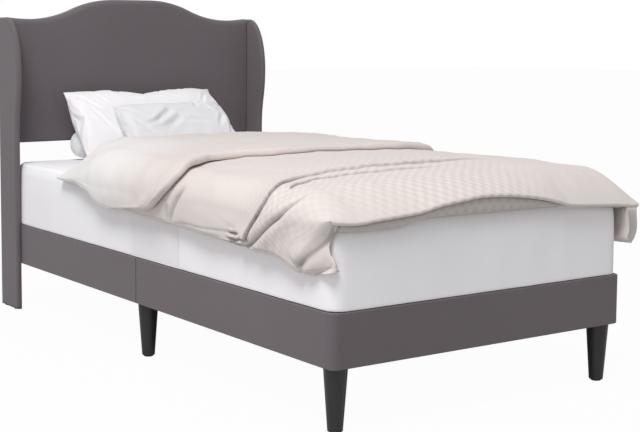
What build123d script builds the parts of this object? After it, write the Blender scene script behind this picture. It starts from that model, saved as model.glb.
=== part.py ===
from build123d import *
from math import sqrt
import os

# A single wingback platform bed with its bedding, in millimetres.
# X runs across the bed, +Y towards the headboard, +Z up.
# The origin is on the floor, under the middle of everything.

# The mattress, and the room the frame leaves round it
mattress_width = 990
mattress_length = 1900
mattress_height = 250
side_play = 5  # from a side rail to the mattress
foot_play = 4
head_play = 16  # from the mattress to the headboard

# Heights of the frame
ground_clearance = 172  # floor to the underside of the rails
rail_height = 144

# Upholstered rails: a board, padding and cloth outside, cloth folded over inside
rail_board = 20
rail_padding = 3.5
cloth_fold = 1.5
cloth_fold_width = 24
rail_edge_radius = 3
foot_corner_radius = 22

# Wings
wing_board = 15
wing_padding = 2.75
wing_foot_depth = 143  # front to back where it stands on the floor
wing_ear_depth = 166  # front to back at its widest
wing_shoulder_depth = 59  # length of the level top edge
wing_top_step = 1  # from the panel's top corner down to the wing's top
wing_ear_drop = 203  # from the wing's top to its widest place
wing_waist_drop = 433  # from the wing's top to the end of its straight front
wing_edge_radius = 2.5

# Headboard panel, hung between the wings
headboard_height = 1144  # floor to the crest
panel_height = 534  # crest to the lower edge
headboard_crest_rise = 76  # crest above the hollows of the top edge
headboard_end_rise = 6  # the top edge's ends above its hollows
headboard_dip_inset = 90  # from a side of the panel to the nearest hollow
crest_flat = 75  # half the level stretch at the crest
panel_cloth = 1.5
panel_foam = 20
panel_board = 9
panel_stile_depth = 15.5
panel_stile_width = 60
panel_stile_drop = 15  # from the top edge's hollow to a stile's end
panel_lining = 1
panel_recess = 12  # from the back of the wings to the panel's lining
panel_edge_radius = 5

# Legs and glides
leg_top_diameter = 64
leg_foot_diameter = 40
leg_foot_round = 2.4
leg_inset = 44  # leg centre from the outer faces of the frame
glide_height = 4
glide_diameter = 30
glide_round = 1.4
wing_glide_diameter = 16
wing_glide_shares = (0.22, 0.78)  # where they stand along the wing's foot
glide_pin_diameter = 3
glide_pin_length = 14
leg_bolt_diameter = 8
leg_bolt_depth = 40  # how far it goes into the leg
leg_bolt_stand = 14  # how far it stands above the plate
leg_nut_width = 13
leg_nut_height = 6.5

# Steel plates and brackets
plate = 2.5
plate_ledge_gap = 6.5  # from the plates' tops up to the ledges
plate_arm_length = 90
plate_shelf_length = 82
shelf_cut_length = 33  # the corner shelf's cut-off tip
shelf_round_radius = 16  # the joiner shelf's rounded tips
joiner_length = 200
frame_bolt_diameter = 6
frame_bolt_head = 11
frame_bolt_head_height = 3.5
frame_bolt_round = 1.6  # rounding of the head
frame_bolt_bite = 14  # how far it goes into the board
bolt_shares = (0.42, 0.82)  # where the two bolts stand along a plate's arm
wing_bolt_bite = 11
panel_bolt_bite = 11

# Slat deck
slat_count = 12
slat_width = 70
slat_thickness = 12
slat_play = 4  # from a slat's end to the rail's board
slat_round = 2.4
slat_end_gap = 35  # from the foot and head boards to the nearest slat
deck_drop = 24  # from the rails' top edges down to the slats' tops
ledge_width = 25
ledge_height = 30
ledge_tape = 1.5
ledge_tape_width = 18
ledge_screw_diameter = 4
ledge_screw_head = 8
ledge_screw_bite = 14
ledge_screws = 3  # in each ledge
ledge_end = 60  # from a ledge's end to its first screw

# Centre beam and its legs
beam_width = 40
beam_height = 28
beam_wall = 2
sleeve_length = 300
cup_wall = 2
cup_depth = 30
cup_height = 24
cup_screw_spacing = 24
sleeve_screw_shares = (0.3, 0.8)  # where its screws stand along each half of the sleeve
beam_leg_spacing = 400
beam_leg_diameter = 30
beam_leg_wall = 2
beam_leg_plate = 60
beam_leg_plate_round = 6
beam_leg_screw_spacing = (24, 43)  # across and along the bed
beam_leg_screw_head = 2  # height
beam_plug_height = 40
foot_pad_diameter = 38
foot_pad_height = 8
foot_pad_round = 2.8
foot_travel = 12
foot_stem_diameter = 8
foot_stem_play = 0.1
foot_stem_length = 52

# Mattress
mattress_corner = 48
mattress_bulge = 12  # how far its sides swell above the rails
mattress_tuck = 8  # how far it draws in at the bottom
mattress_shoulder = 20  # how far the top draws in

# Bedding
rest_gap = 0.3  # between soft things that lie on each other
duvet_overhang = 28  # how far its foot corners stand past the footboard
duvet_head_gap = 430  # from its head end to the headboard
duvet_side = 61  # how far its sides hang out beyond the mattress
duvet_wave = 9  # swing of the hanging sides in and out
duvet_loft = 84  # top of a single layer above the mattress
duvet_drop = 104  # hem below the top of the mattress
duvet_wall = 46  # thickness of the hanging sides
duvet_flap = 16  # thickness that the turned-back layer adds
duvet_crown_rise = 8.4  # how far the middle stands above the shoulders' brows
duvet_shoulder = 0.62  # drop of the shoulder below the crown, as a share of the loft
duvet_shoulder_width = 69
duvet_bow = 0.3  # roundness of the shoulder: smaller is fuller
duvet_hem_side = 13.8  # least height of the hanging side below the shoulder
duvet_under_rise = 9.2  # rise of the underside's middle
pillow_waist = 14  # how far a pillow's sides draw in between the corners
pillow_rim = 9  # thickness along a pillow's edge
pillow_stations = (-1, -0.9, -0.62, 0, 0.62, 0.9, 1)  # sections from the middle to each end
pillow_draw = 0.6  # share of the waist that the long edges take
pillow_fullness = 0.4  # how the swell falls off towards the ends: smaller is fuller
bolster_width = 600
bolster_depth = 110
bolster_height = 110
bolster_rim = 55
bolster_center = -30  # across the bed
back_pillow_width = 640
back_pillow_height = 322
back_pillow_thickness = 120
back_pillow_center = -18
back_pillow_angle = 50  # degrees from level
front_pillow_width = 460
front_pillow_height = 274
front_pillow_thickness = 90
front_pillow_center = 20
front_pillow_angle = 45

# Places that follow from the sizes
rail_thickness = rail_padding + rail_board + cloth_fold
panel_depth = panel_cloth + panel_foam + panel_board + panel_stile_depth + panel_lining
frame_width = mattress_width + 2 * (side_play + rail_thickness)
inner_length = foot_play + mattress_length + head_play
bed_length = rail_thickness + inner_length + panel_depth + panel_recess
half_frame = frame_width / 2
wing_thickness = wing_board + 2 * wing_padding
headboard_bottom = headboard_height - panel_height
headboard_dip_height = headboard_height - headboard_crest_rise
headboard_end_height = headboard_dip_height + headboard_end_rise
headboard_dip = half_frame - headboard_dip_inset
wing_top = headboard_end_height - wing_top_step
wing_ear_height = wing_top - wing_ear_drop
wing_waist_height = wing_top - wing_waist_drop
y_back = (bed_length + duvet_overhang) / 2
y_foot = y_back - bed_length
y_foot_inner = y_foot + rail_thickness
y_head_face = y_back - panel_recess
y_head_inner = y_head_face - rail_thickness
y_seam = (y_foot + y_back) / 2
rail_top = ground_clearance + rail_height
board_inner = half_frame - rail_padding - rail_board
y_foot_board = y_foot + rail_padding + rail_board
y_head_board = y_head_face - rail_padding - rail_board
deck_height = rail_top - deck_drop
slat_bottom = deck_height - slat_thickness
ledge_top = slat_bottom - ledge_tape
plate_top = ledge_top - ledge_height - plate_ledge_gap
plate_height = plate_top - ground_clearance
y_panel_front = y_head_face - panel_depth
mattress_bottom = deck_height + rest_gap
mattress_top = mattress_bottom + mattress_height
y_mattress_foot = y_foot_inner + foot_play
y_duvet_foot = y_foot - duvet_overhang
y_duvet_head = y_panel_front - duvet_head_gap
duvet_half_width = mattress_width / 2 + duvet_side

parts = {}


def box(x0, x1, y0, y1, z0, z1):
    """A block between two corners, given in any order."""
    size = (abs(x1 - x0), abs(y1 - y0), abs(z1 - z0))
    middle = ((x0 + x1) / 2, (y0 + y1) / 2, (z0 + z1) / 2)
    return Pos(*middle) * Box(*size)


def rod(start, direction, radius, length):
    """A round bar from a start point along a direction."""
    place = Plane(origin=start, z_dir=direction)
    return place * Cylinder(radius, length, align=(Align.CENTER, Align.CENTER, Align.MIN))


def mirrored(shape):
    """The same shape on the other side of the bed."""
    return mirror(shape, about=Plane.YZ)


def edges_at(shape, axis, *values):
    """The edges whose middles lie at one of some values along X, Y or Z."""
    return [
        edge
        for edge in shape.edges()
        if any(abs(getattr(edge.center(), axis) - value) < 0.01 for value in values)
    ]


def drill(shape, holes):
    """A shape less each of some hole solids."""
    for hole in holes:
        shape = shape - hole
    return shape


def add(name, *shapes):
    """Keep one node, which may hold several separate solids."""
    solids = [solid for shape in shapes for solid in shape.solids()]
    if name in parts:
        solids = parts[name] + solids
    parts[name] = solids


def frame_bolt(start, direction, length):
    """A button-headed bolt: the head lies before the start point, the shank after it."""
    back = tuple(-part for part in direction)
    shank = rod(start, direction, frame_bolt_diameter / 2, length)
    cap = rod(start, back, frame_bolt_head / 2, frame_bolt_head_height)
    rims = cap.edges().filter_by(GeomType.CIRCLE)
    far = max(rims, key=lambda edge: (edge.center() - Vector(*start)).length)
    return fillet(far, frame_bolt_round) + shank


# Frame boards and their covers


def long_rail(x_out, x_in, y0, y1):
    """Board and cover of a rail that runs along Y, with its outer face at x_out."""
    inward = 1 if x_in > x_out else -1
    x_board = x_out + inward * rail_padding
    x_fold = x_board + inward * rail_board
    low, high = ground_clearance + rail_padding, rail_top - rail_padding
    board = box(x_board, x_fold, y0, y1, low, high)
    cover = box(x_out, x_in, y0, y1, ground_clearance, rail_top)
    cover = fillet(edges_at(cover, "X", x_out), rail_edge_radius)
    sill, lintel = low + cloth_fold_width, high - cloth_fold_width
    window = box(x_fold, x_in + inward, y0 - 1, y1 + 1, sill, lintel)
    return board, cover - board - window


def cross_rail(y_out, y_in, corner):
    """Board and cover of a rail that runs across the bed, with its outer face at y_out."""
    inward = 1 if y_in > y_out else -1
    y_board = y_out + inward * rail_padding
    y_fold = y_board + inward * rail_board
    low, high = ground_clearance + rail_padding, rail_top - rail_padding
    side = half_frame - rail_padding

    def slab(half, ya, yb, za, zb, radius):
        solid = box(-half, half, ya, yb, za, zb)
        if radius > 0:
            ends = solid.edges().filter_by(Axis.Z).group_by(Axis.Y)[0 if inward > 0 else -1]
            solid = fillet(ends, radius)
        return solid

    board = slab(side, y_board, y_fold, low, high, max(corner - rail_padding, 0))
    cover = slab(half_frame, y_out, y_in, ground_clearance, rail_top, corner)
    rim = edges_at(cover, "Z", ground_clearance, rail_top)
    rim = [edge for edge in rim if abs(edge.center().Y - y_in) > 0.01]
    cover = fillet(rim, rail_edge_radius)
    sill, lintel = low + cloth_fold_width, high - cloth_fold_width
    window = box(-board_inner, board_inner, y_fold, y_in + inward, sill, lintel)
    return board, cover - board - window


foot_board, foot_cover = cross_rail(y_foot, y_foot_inner, foot_corner_radius)
head_board, head_cover = cross_rail(y_head_face, y_head_inner, 0)
side_spans = {"foot": (y_foot_inner, y_seam), "head": (y_seam, y_head_inner)}
side_boards = {}
side_covers = {}
for half, (y0, y1) in side_spans.items():
    side_boards[half], side_covers[half] = long_rail(half_frame, half_frame - rail_thickness, y0, y1)


# Wings


def wing_face(inset, base):
    """Side profile of a wing on the YZ plane, drawn in by an inset, standing on a base height."""
    back = y_back - inset
    foot = y_back - wing_foot_depth + inset
    ear = y_back - wing_ear_depth + inset
    shoulder = y_back - wing_shoulder_depth
    top = wing_top - inset
    waist_mid = ((foot + ear) / 2, (wing_waist_height + wing_ear_height) / 2)
    rise = (wing_ear_height - wing_waist_height) / 2
    step = (foot - ear) / 2
    radius = (rise**2 + step**2) / (2 * step)
    bow = radius - sqrt(radius**2 - (rise / 2) ** 2)
    front = Line((foot, base), (foot, wing_waist_height))
    hollow = ThreePointArc(
        (foot, wing_waist_height), (foot - bow, wing_waist_height + rise / 2), waist_mid
    )
    swell = ThreePointArc(waist_mid, (ear + bow, wing_ear_height - rise / 2), (ear, wing_ear_height))
    crown = EllipticalCenterArc(
        (shoulder, wing_ear_height), shoulder - ear, top - wing_ear_height, 90, arc_size=90
    )
    rest = Polyline((shoulder, top), (back, top), (back, base), (foot, base))
    profile = make_face(Curve() + [front, hollow, swell, crown, rest])
    return Plane.YZ * profile


def wing_solid(inset, base, x0, x1):
    """The wing's profile between two distances from the bed's middle."""
    face = wing_face(inset, base)
    return Pos(x0, 0, 0) * extrude(face, x1 - x0, dir=(1, 0, 0))


wing_outer = half_frame + wing_thickness
wing_core = wing_solid(
    wing_padding, glide_height + wing_padding, half_frame + wing_padding, wing_outer - wing_padding
)
wing_skin = wing_solid(0, glide_height, half_frame, wing_outer)
wing_rims = edges_at(wing_skin, "X", half_frame, wing_outer)
wing_skin = fillet(wing_rims, wing_edge_radius) - wing_core


# Headboard panel


def panel_face(inset):
    """Front outline of the panel on the XZ plane: a crest, two hollows and square lower corners."""
    half = half_frame - inset
    crest = headboard_height - inset
    dip = headboard_dip_height - inset
    end = headboard_end_height - inset
    low = headboard_bottom + inset
    run = (headboard_dip - crest_flat) / 2
    drop = (crest - dip) / 2
    radius = (run**2 + drop**2) / (2 * drop)
    bow = radius - sqrt(radius**2 - (run / 2) ** 2)
    turn = (crest_flat + run, crest - drop)
    tail = half - headboard_dip
    climb = end - dip
    tail_radius = (tail**2 + climb**2) / (2 * climb)
    tail_bow = tail_radius - sqrt(tail_radius**2 - (tail / 2) ** 2)
    right = [
        ThreePointArc((crest_flat, crest), (crest_flat + run / 2, crest - bow), turn),
        ThreePointArc(turn, (headboard_dip - run / 2, dip + bow), (headboard_dip, dip)),
        ThreePointArc((headboard_dip, dip), (headboard_dip + tail / 2, dip + tail_bow), (half, end)),
        Line((half, end), (half, low)),
    ]
    left = [mirror(edge, about=Plane.YZ) for edge in right]
    level = [Line((-crest_flat, crest), (crest_flat, crest)), Line((-half, low), (half, low))]
    return make_face(Curve() + right + left + level)


def panel_slab(inset, y0, y1):
    """The panel's outline between two depths."""
    face = Plane(origin=(0, y1, 0), x_dir=(1, 0, 0), z_dir=(0, -1, 0)) * panel_face(inset)
    return extrude(face, y1 - y0, dir=(0, -1, 0))


y_foam = y_panel_front + panel_cloth
y_ply = y_foam + panel_foam
y_stile = y_ply + panel_board
y_lining = y_stile + panel_stile_depth
panel_skin = panel_slab(0, y_panel_front, y_head_face)
panel_skin = fillet(edges_at(panel_skin, "Y", y_panel_front), panel_edge_radius)
panel_body = panel_slab(panel_cloth, y_foam, y_head_face)
panel_body = fillet(edges_at(panel_body, "Y", y_foam), panel_edge_radius - panel_cloth)
panel_skin = panel_skin - panel_body
foam = panel_body & box(-half_frame, half_frame, y_foam, y_ply, 0, headboard_height)
ply = panel_slab(panel_cloth, y_ply, y_stile)
lining = panel_slab(panel_cloth, y_lining, y_head_face)
stile_low = headboard_bottom + panel_cloth
stile_high = headboard_dip_height - panel_cloth - panel_stile_drop
stile_out = half_frame - panel_cloth
stile_in = stile_out - panel_stile_width
stile = box(stile_in, stile_out, y_stile, y_lining, stile_low, stile_high)
batten = box(-stile_in, stile_in, y_stile, y_lining, stile_low, stile_low + panel_stile_width)


# Bolts that hold the headboard between the wings: three through each stile


panel_bolt_holes = []
lowest_bolt = stile_low + panel_stile_width + 2 * frame_bolt_head
highest_bolt = stile_high - 2 * frame_bolt_head
for height in (lowest_bolt, (lowest_bolt + highest_bolt) / 2, highest_bolt):
    start = (stile_in, (y_stile + y_lining) / 2, height)
    reach = panel_stile_width + panel_cloth + wing_padding + panel_bolt_bite
    shape = frame_bolt(start, (1, 0, 0), reach)
    panel_bolt_holes.append(rod(start, (1, 0, 0), frame_bolt_diameter / 2, reach))
    add("headboard_bolts", shape, mirrored(shape))


# Steel plates inside the corners and across the middle of each side


def bolt_pair(holes, start, along, direction, reach):
    """Two bolts a step apart along a direction; the holes they need are kept in a list."""
    for step in along:
        place = tuple(a + b for a, b in zip(start, step))
        shape = frame_bolt(place, direction, reach)
        add("frame_bolts", shape, mirrored(shape))
        holes.append(rod(place, direction, frame_bolt_diameter / 2, reach))


x_fold = half_frame - rail_thickness
x_plate = x_fold - plate
x_leg = half_frame - leg_inset
z_bolt = ground_clearance + plate_height / 2
bolt_reach = plate + cloth_fold + frame_bolt_bite
side_holes = []
foot_holes = []
head_holes = []


def corner_angle(y_inner, towards):
    """An upright steel angle in a corner, with one arm on each rail."""
    y_tip = y_inner + towards * plate_arm_length
    y_arm = y_inner + towards * plate
    side_arm = box(x_plate, x_fold, y_inner, y_tip, ground_clearance, plate_top)
    cross_arm = box(x_fold - plate_arm_length, x_fold, y_inner, y_arm, ground_clearance, plate_top)
    return side_arm + cross_arm


def leg_hole(y_leg):
    """The hole that a leg's bolt needs in a shelf."""
    return rod((x_leg, y_leg, ground_clearance - 1), (0, 0, 1), leg_bolt_diameter / 2, plate + 2)


y_front_leg = y_foot + leg_inset
x_shelf = x_fold - plate_shelf_length
shelf_top = ground_clearance + plate
shelf = box(x_shelf, x_fold, y_foot_inner, y_foot_inner + plate_shelf_length, ground_clearance, shelf_top)
shelf_tip = shelf.edges().filter_by(Axis.Z).sort_by(lambda e: e.center().Y - e.center().X)[-1]
shelf = chamfer(shelf_tip, shelf_cut_length)
corner_plate = corner_angle(y_foot_inner, 1) + shelf - leg_hole(y_front_leg)
head_angle = corner_angle(y_head_inner, -1)
y_joiner = (y_seam - joiner_length / 2, y_seam + joiner_length / 2)
joiner = box(x_plate, x_fold, *y_joiner, ground_clearance, plate_top)
y_shelf = (y_seam - plate_shelf_length / 2, y_seam + plate_shelf_length / 2)
joiner_shelf = box(x_shelf, x_fold, *y_shelf, ground_clearance, shelf_top)
joiner_tips = joiner_shelf.edges().filter_by(Axis.Z).group_by(Axis.X)[0]
joiner = joiner + fillet(joiner_tips, shelf_round_radius) - leg_hole(y_seam)

side_steps = [(0, share * plate_arm_length, 0) for share in bolt_shares]
cross_steps = [(-share * plate_arm_length, 0, 0) for share in bolt_shares]
side_start = (x_plate, y_foot_inner, z_bolt)
bolt_pair(side_holes, side_start, side_steps, (1, 0, 0), bolt_reach)
bolt_pair(foot_holes, (x_fold, y_foot_inner + plate, z_bolt), cross_steps, (0, -1, 0), bolt_reach)
bolt_pair(head_holes, (x_fold, y_head_inner - plate, z_bolt), cross_steps, (0, 1, 0), bolt_reach)
half_joiner = joiner_length / 2
seam_steps = [(0, sign * share * half_joiner, 0) for sign in (-1, 1) for share in bolt_shares]
bolt_pair(side_holes, (x_plate, y_seam, z_bolt), seam_steps, (1, 0, 0), bolt_reach)


wing_bolt_holes = []
wing_bolt_reach = plate + rail_thickness + wing_padding + wing_bolt_bite
for share in bolt_shares:
    start = (x_plate, y_head_inner - share * plate_arm_length, z_bolt)
    shape = frame_bolt(start, (1, 0, 0), wing_bolt_reach)
    wing_bolt_holes.append(rod(start, (1, 0, 0), frame_bolt_diameter / 2, wing_bolt_reach))
    add("wing_bolts", shape, mirrored(shape))


corner_plate = drill(corner_plate, side_holes + foot_holes)
head_angle = drill(head_angle, wing_bolt_holes + head_holes)
joiner = drill(joiner, side_holes)
add("corner_plate_right", corner_plate)
add("corner_plate_left", mirrored(corner_plate))
add("head_bracket_right", head_angle)
add("head_bracket_left", mirrored(head_angle))
add("joiner_plate_right", joiner)
add("joiner_plate_left", mirrored(joiner))


# Ledges with their screws and gripping tape


ledge_holes = []
for half, (y0, y1) in side_spans.items():
    ledge = box(board_inner - ledge_width, board_inner, y0, y1, ledge_top - ledge_height, ledge_top)
    holes = []
    pitch = (y1 - y0 - 2 * ledge_end) / (ledge_screws - 1)
    for index in range(ledge_screws):
        y_screw = y0 + ledge_end + index * pitch
        start = (board_inner - ledge_width, y_screw, ledge_top - ledge_height / 2)
        reach = ledge_width + ledge_screw_bite
        sink = (ledge_screw_head - ledge_screw_diameter) / 2
        shank = rod(start, (1, 0, 0), ledge_screw_diameter / 2, reach)
        head = Pos(start[0] + sink / 2, start[1], start[2]) * Rot(0, 90, 0) * Cone(
            ledge_screw_head / 2, ledge_screw_diameter / 2, sink
        )
        screw = head + shank
        holes.append(screw)
        add("wood_screws", screw, mirrored(screw))
    ledge = drill(ledge, holes)
    ledge_holes += holes
    add("ledge_right_" + half, ledge)
    add("ledge_left_" + half, mirrored(ledge))
    middle = board_inner - ledge_width / 2
    x_tape = (middle - ledge_tape_width / 2, middle + ledge_tape_width / 2)
    tape = box(*x_tape, y0, y1, ledge_top, slat_bottom)
    add("slat_tapes", tape, mirrored(tape))


# Slats, evenly spaced between the footboard and the head rail


deck_start = y_foot_board + slat_end_gap + slat_width / 2
deck_end = y_head_board - slat_end_gap - slat_width / 2
slat_length = 2 * (board_inner - slat_play)
for index in range(slat_count):
    y_slat = deck_start + index * (deck_end - deck_start) / (slat_count - 1)
    slat = Box(slat_length, slat_width, slat_thickness)
    slat = fillet(slat.edges().filter_by(Axis.X), slat_round)
    half = "foot" if y_slat < y_seam else "head"
    add("slats_" + half, Pos(0, y_slat, slat_bottom + slat_thickness / 2) * slat)


# Centre beam in two halves, its inner sleeve, end cups and screws


beam_bottom = slat_bottom - beam_height


def tube(width, height, wall, y0, y1, z_middle):
    """A square steel tube along the bed."""
    outer = Pos(0, (y0 + y1) / 2, z_middle) * Box(width, y1 - y0, height)
    inner = Pos(0, (y0 + y1) / 2, z_middle) * Box(width - 2 * wall, y1 - y0, height - 2 * wall)
    outer = fillet(outer.edges().filter_by(Axis.Y), wall)
    inner = fillet(inner.edges().filter_by(Axis.Y), wall / 2)
    return outer - inner


beam_middle = beam_bottom + beam_height / 2
y_beam_foot = y_foot_board + cup_wall
y_beam_head = y_head_board - cup_wall
beam_foot = tube(beam_width, beam_height, beam_wall, y_beam_foot, y_seam, beam_middle)
beam_head = tube(beam_width, beam_height, beam_wall, y_seam, y_beam_head, beam_middle)
sleeve_size = (beam_width - 2 * beam_wall, sleeve_length, beam_height - 2 * beam_wall)
sleeve = Box(*sleeve_size)
sleeve = fillet(sleeve.edges().filter_by(Axis.Y), beam_wall / 2)
hollow = Box(sleeve_size[0] - 2 * beam_wall, sleeve_length, sleeve_size[2] - 2 * beam_wall)
sleeve = Pos(0, y_seam, beam_middle) * (sleeve - hollow)


def cup(y_wall, towards):
    """A steel cup screwed to a rail's board, open at the top and towards the beam."""
    x = beam_width / 2
    y_back_wall = y_wall + towards * cup_wall
    y_end = y_back_wall + towards * cup_depth
    high = beam_bottom + cup_height
    outside = box(-x - cup_wall, x + cup_wall, y_wall, y_end, beam_bottom - cup_wall, high)
    inside = box(-x, x, y_back_wall, y_end + towards, beam_bottom, high + 1)
    return outside - inside


foot_cup = cup(y_foot_board, 1)
head_cup = cup(y_head_board, -1)
cup_holes = []
for side in (-1, 1):
    for wall, direction in ((y_foot_board, -1), (y_head_board, 1)):
        x_screw = side * cup_screw_spacing / 2
        start = (x_screw, wall - direction * cup_wall, beam_bottom + cup_height / 2)
        shank = rod(start, (0, direction, 0), ledge_screw_diameter / 2, cup_wall + ledge_screw_bite)
        head = rod(start, (0, -direction, 0), ledge_screw_head / 2, cup_wall)
        add("wood_screws", shank + head)
        cup_holes.append(shank)
        cup_holes.append(head)
add("beam_cups", drill(foot_cup, cup_holes), drill(head_cup, cup_holes))


# Two steel legs under the beam, each with a levelling foot that screws up into a plug

leg_plate_low = beam_bottom - plate
leg_tube_low = foot_pad_height + foot_travel + plate
bore_radius = foot_stem_diameter / 2 + foot_stem_play
for index, side in enumerate((-1, 1), start=1):
    y_leg = y_seam + side * beam_leg_spacing / 2
    top = Pos(0, y_leg, leg_plate_low + plate / 2) * Box(beam_leg_plate, beam_leg_plate, plate)
    top = fillet(top.edges().filter_by(Axis.Z), beam_leg_plate_round)
    post_length = leg_plate_low - leg_tube_low
    post = rod((0, y_leg, leg_tube_low), (0, 0, 1), beam_leg_diameter / 2, post_length)
    bore_low = leg_tube_low + beam_plug_height
    bore_length = post_length - beam_plug_height
    bore = rod((0, y_leg, bore_low), (0, 0, 1), beam_leg_diameter / 2 - beam_leg_wall, bore_length)
    socket = rod((0, y_leg, leg_tube_low - 1), (0, 0, 1), bore_radius, beam_plug_height + 2)
    leg = top + (post - bore - socket)
    pad = rod((0, y_leg, 0), (0, 0, 1), foot_pad_diameter / 2, foot_pad_height)
    pad = fillet(pad.edges().sort_by(Axis.Z)[-1], foot_pad_round)
    stem = rod((0, y_leg, foot_pad_height), (0, 0, 1), foot_stem_diameter / 2, foot_stem_length)
    add(f"levelling_foot_{index}", pad + stem)
    shanks = []
    for x_step, y_step in ((-1, -1), (-1, 1), (1, -1), (1, 1)):
        x_screw = x_step * beam_leg_screw_spacing[0] / 2
        y_screw = y_leg + y_step * beam_leg_screw_spacing[1] / 2
        place = (x_screw, y_screw, leg_plate_low)
        shank = rod(place, (0, 0, 1), ledge_screw_diameter / 2, plate + beam_wall)
        cap = rod(place, (0, 0, -1), ledge_screw_head / 2, beam_leg_screw_head)
        add("steel_screws", shank + cap)
        shanks.append(shank)
    add(f"centre_leg_{index}", drill(leg, shanks))
    if side < 0:
        beam_foot = drill(beam_foot, shanks)
    else:
        beam_head = drill(beam_head, shanks)
for side in (-1, 1):
    for share in sleeve_screw_shares:
        place = (0, y_seam + side * share * sleeve_length / 2, beam_bottom)
        shank = rod(place, (0, 0, 1), ledge_screw_diameter / 2, 2 * beam_wall)
        add("steel_screws", shank + rod(place, (0, 0, -1), ledge_screw_head / 2, beam_wall))
        beam_foot = beam_foot - shank
        beam_head = beam_head - shank
        sleeve = sleeve - shank
add("centre_beam_foot", beam_foot)
add("centre_beam_head", beam_head)
add("beam_sleeve", sleeve)


# Tapered wooden legs, their bolts, nuts and the glides under everything that stands


def glide(x, y, diameter):
    """A nail glide: a rounded disc and its pin."""
    disc = rod((x, y, 0), (0, 0, 1), diameter / 2, glide_height)
    disc = fillet(disc.edges().sort_by(Axis.Z)[0], glide_round)
    return disc, rod((x, y, glide_height), (0, 0, 1), glide_pin_diameter / 2, glide_pin_length)


legs = {"front": y_front_leg, "middle": y_seam}
for name, y_leg in legs.items():
    leg_height = ground_clearance - glide_height
    leg = Pos(x_leg, y_leg, glide_height + leg_height / 2) * Cone(
        leg_foot_diameter / 2, leg_top_diameter / 2, leg_height
    )
    leg = fillet(leg.edges().sort_by(Axis.Z)[0], leg_foot_round)
    disc, pin = glide(x_leg, y_leg, glide_diameter)
    bolt_low = ground_clearance - leg_bolt_depth
    bolt_length = leg_bolt_depth + plate + leg_bolt_stand
    stud = rod((x_leg, y_leg, bolt_low), (0, 0, 1), leg_bolt_diameter / 2, bolt_length)
    nut_face = RegularPolygon(leg_nut_width / 2, 6, major_radius=False)
    nut = Pos(x_leg, y_leg, ground_clearance + plate) * extrude(nut_face, leg_nut_height) - stud
    leg = leg - stud - pin
    add("leg_bolts", stud, mirrored(stud))
    add("leg_bolts", nut, mirrored(nut))
    add("glides", disc + pin, mirrored(disc + pin))
    add(f"leg_{name}_right", leg)
    add(f"leg_{name}_left", mirrored(leg))

x_wing = half_frame + wing_thickness / 2
for share in wing_glide_shares:
    y_glide = y_back - wing_foot_depth * share
    disc, pin = glide(x_wing, y_glide, wing_glide_diameter)
    add("glides", disc + pin, mirrored(disc + pin))
    wing_core = wing_core - pin
    wing_skin = wing_skin - pin


# The drilled boards and covers

wing_holes = wing_bolt_holes + panel_bolt_holes
wing_core = drill(wing_core, wing_holes)
wing_skin = drill(wing_skin, wing_holes)
add("wing_board_right", wing_core)
add("wing_board_left", mirrored(wing_core))
add("wing_cover_right", wing_skin)
add("wing_cover_left", mirrored(wing_skin))
for half in side_spans:
    board = drill(side_boards[half], side_holes + ledge_holes + wing_bolt_holes)
    cover = drill(side_covers[half], side_holes + wing_bolt_holes)
    add(f"side_board_right_{half}", board)
    add(f"side_board_left_{half}", mirrored(board))
    add(f"side_cover_right_{half}", cover)
    add(f"side_cover_left_{half}", mirrored(cover))
both_foot = foot_holes + [mirrored(hole) for hole in foot_holes] + cup_holes
both_head = head_holes + [mirrored(hole) for hole in head_holes] + cup_holes
add("footboard_board", drill(foot_board, both_foot))
add("footboard_cover", drill(foot_cover, both_foot))
add("head_rail_board", drill(head_board, both_head))
add("head_rail_cover", drill(head_cover, both_head))
both_panel = panel_bolt_holes + [mirrored(hole) for hole in panel_bolt_holes]
add("headboard_cover", drill(panel_skin, both_panel))
add("headboard_foam", foam)
add("headboard_board", ply)
add("headboard_lining", lining)
stile = drill(stile, panel_bolt_holes)
add("headboard_stile_right", stile)
add("headboard_stile_left", mirrored(stile))
add("headboard_batten", batten)


# Mattress: rounded layers lofted from the tucked base, over the swell, to the drawn-in top


def mattress_form(gap):
    """The mattress, grown by a gap all round."""
    half = mattress_width / 2 + gap
    y0 = y_mattress_foot - gap
    y1 = y_mattress_foot + mattress_length + gap
    clear = rail_top - mattress_bottom
    layers = [
        (0, -mattress_tuck),
        (clear * 0.5, -mattress_tuck * 0.25),
        (mattress_height * 0.5, mattress_bulge),
        (mattress_height * 0.86, mattress_bulge * 0.3),
        (mattress_height, -mattress_shoulder),
    ]
    sections = []
    for rise, swell in layers:
        lift = gap if rise == mattress_height else 0
        outline = RectangleRounded(2 * (half + swell), y1 - y0 + 2 * swell, mattress_corner)
        sections.append(Pos(0, (y0 + y1) / 2, mattress_bottom + rise + lift) * outline)
    return loft(sections)


add("mattress", mattress_form(0))


# Duvet: a thick quilt over the mattress, with hanging sides, a lifted foot edge and its head turned back

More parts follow.
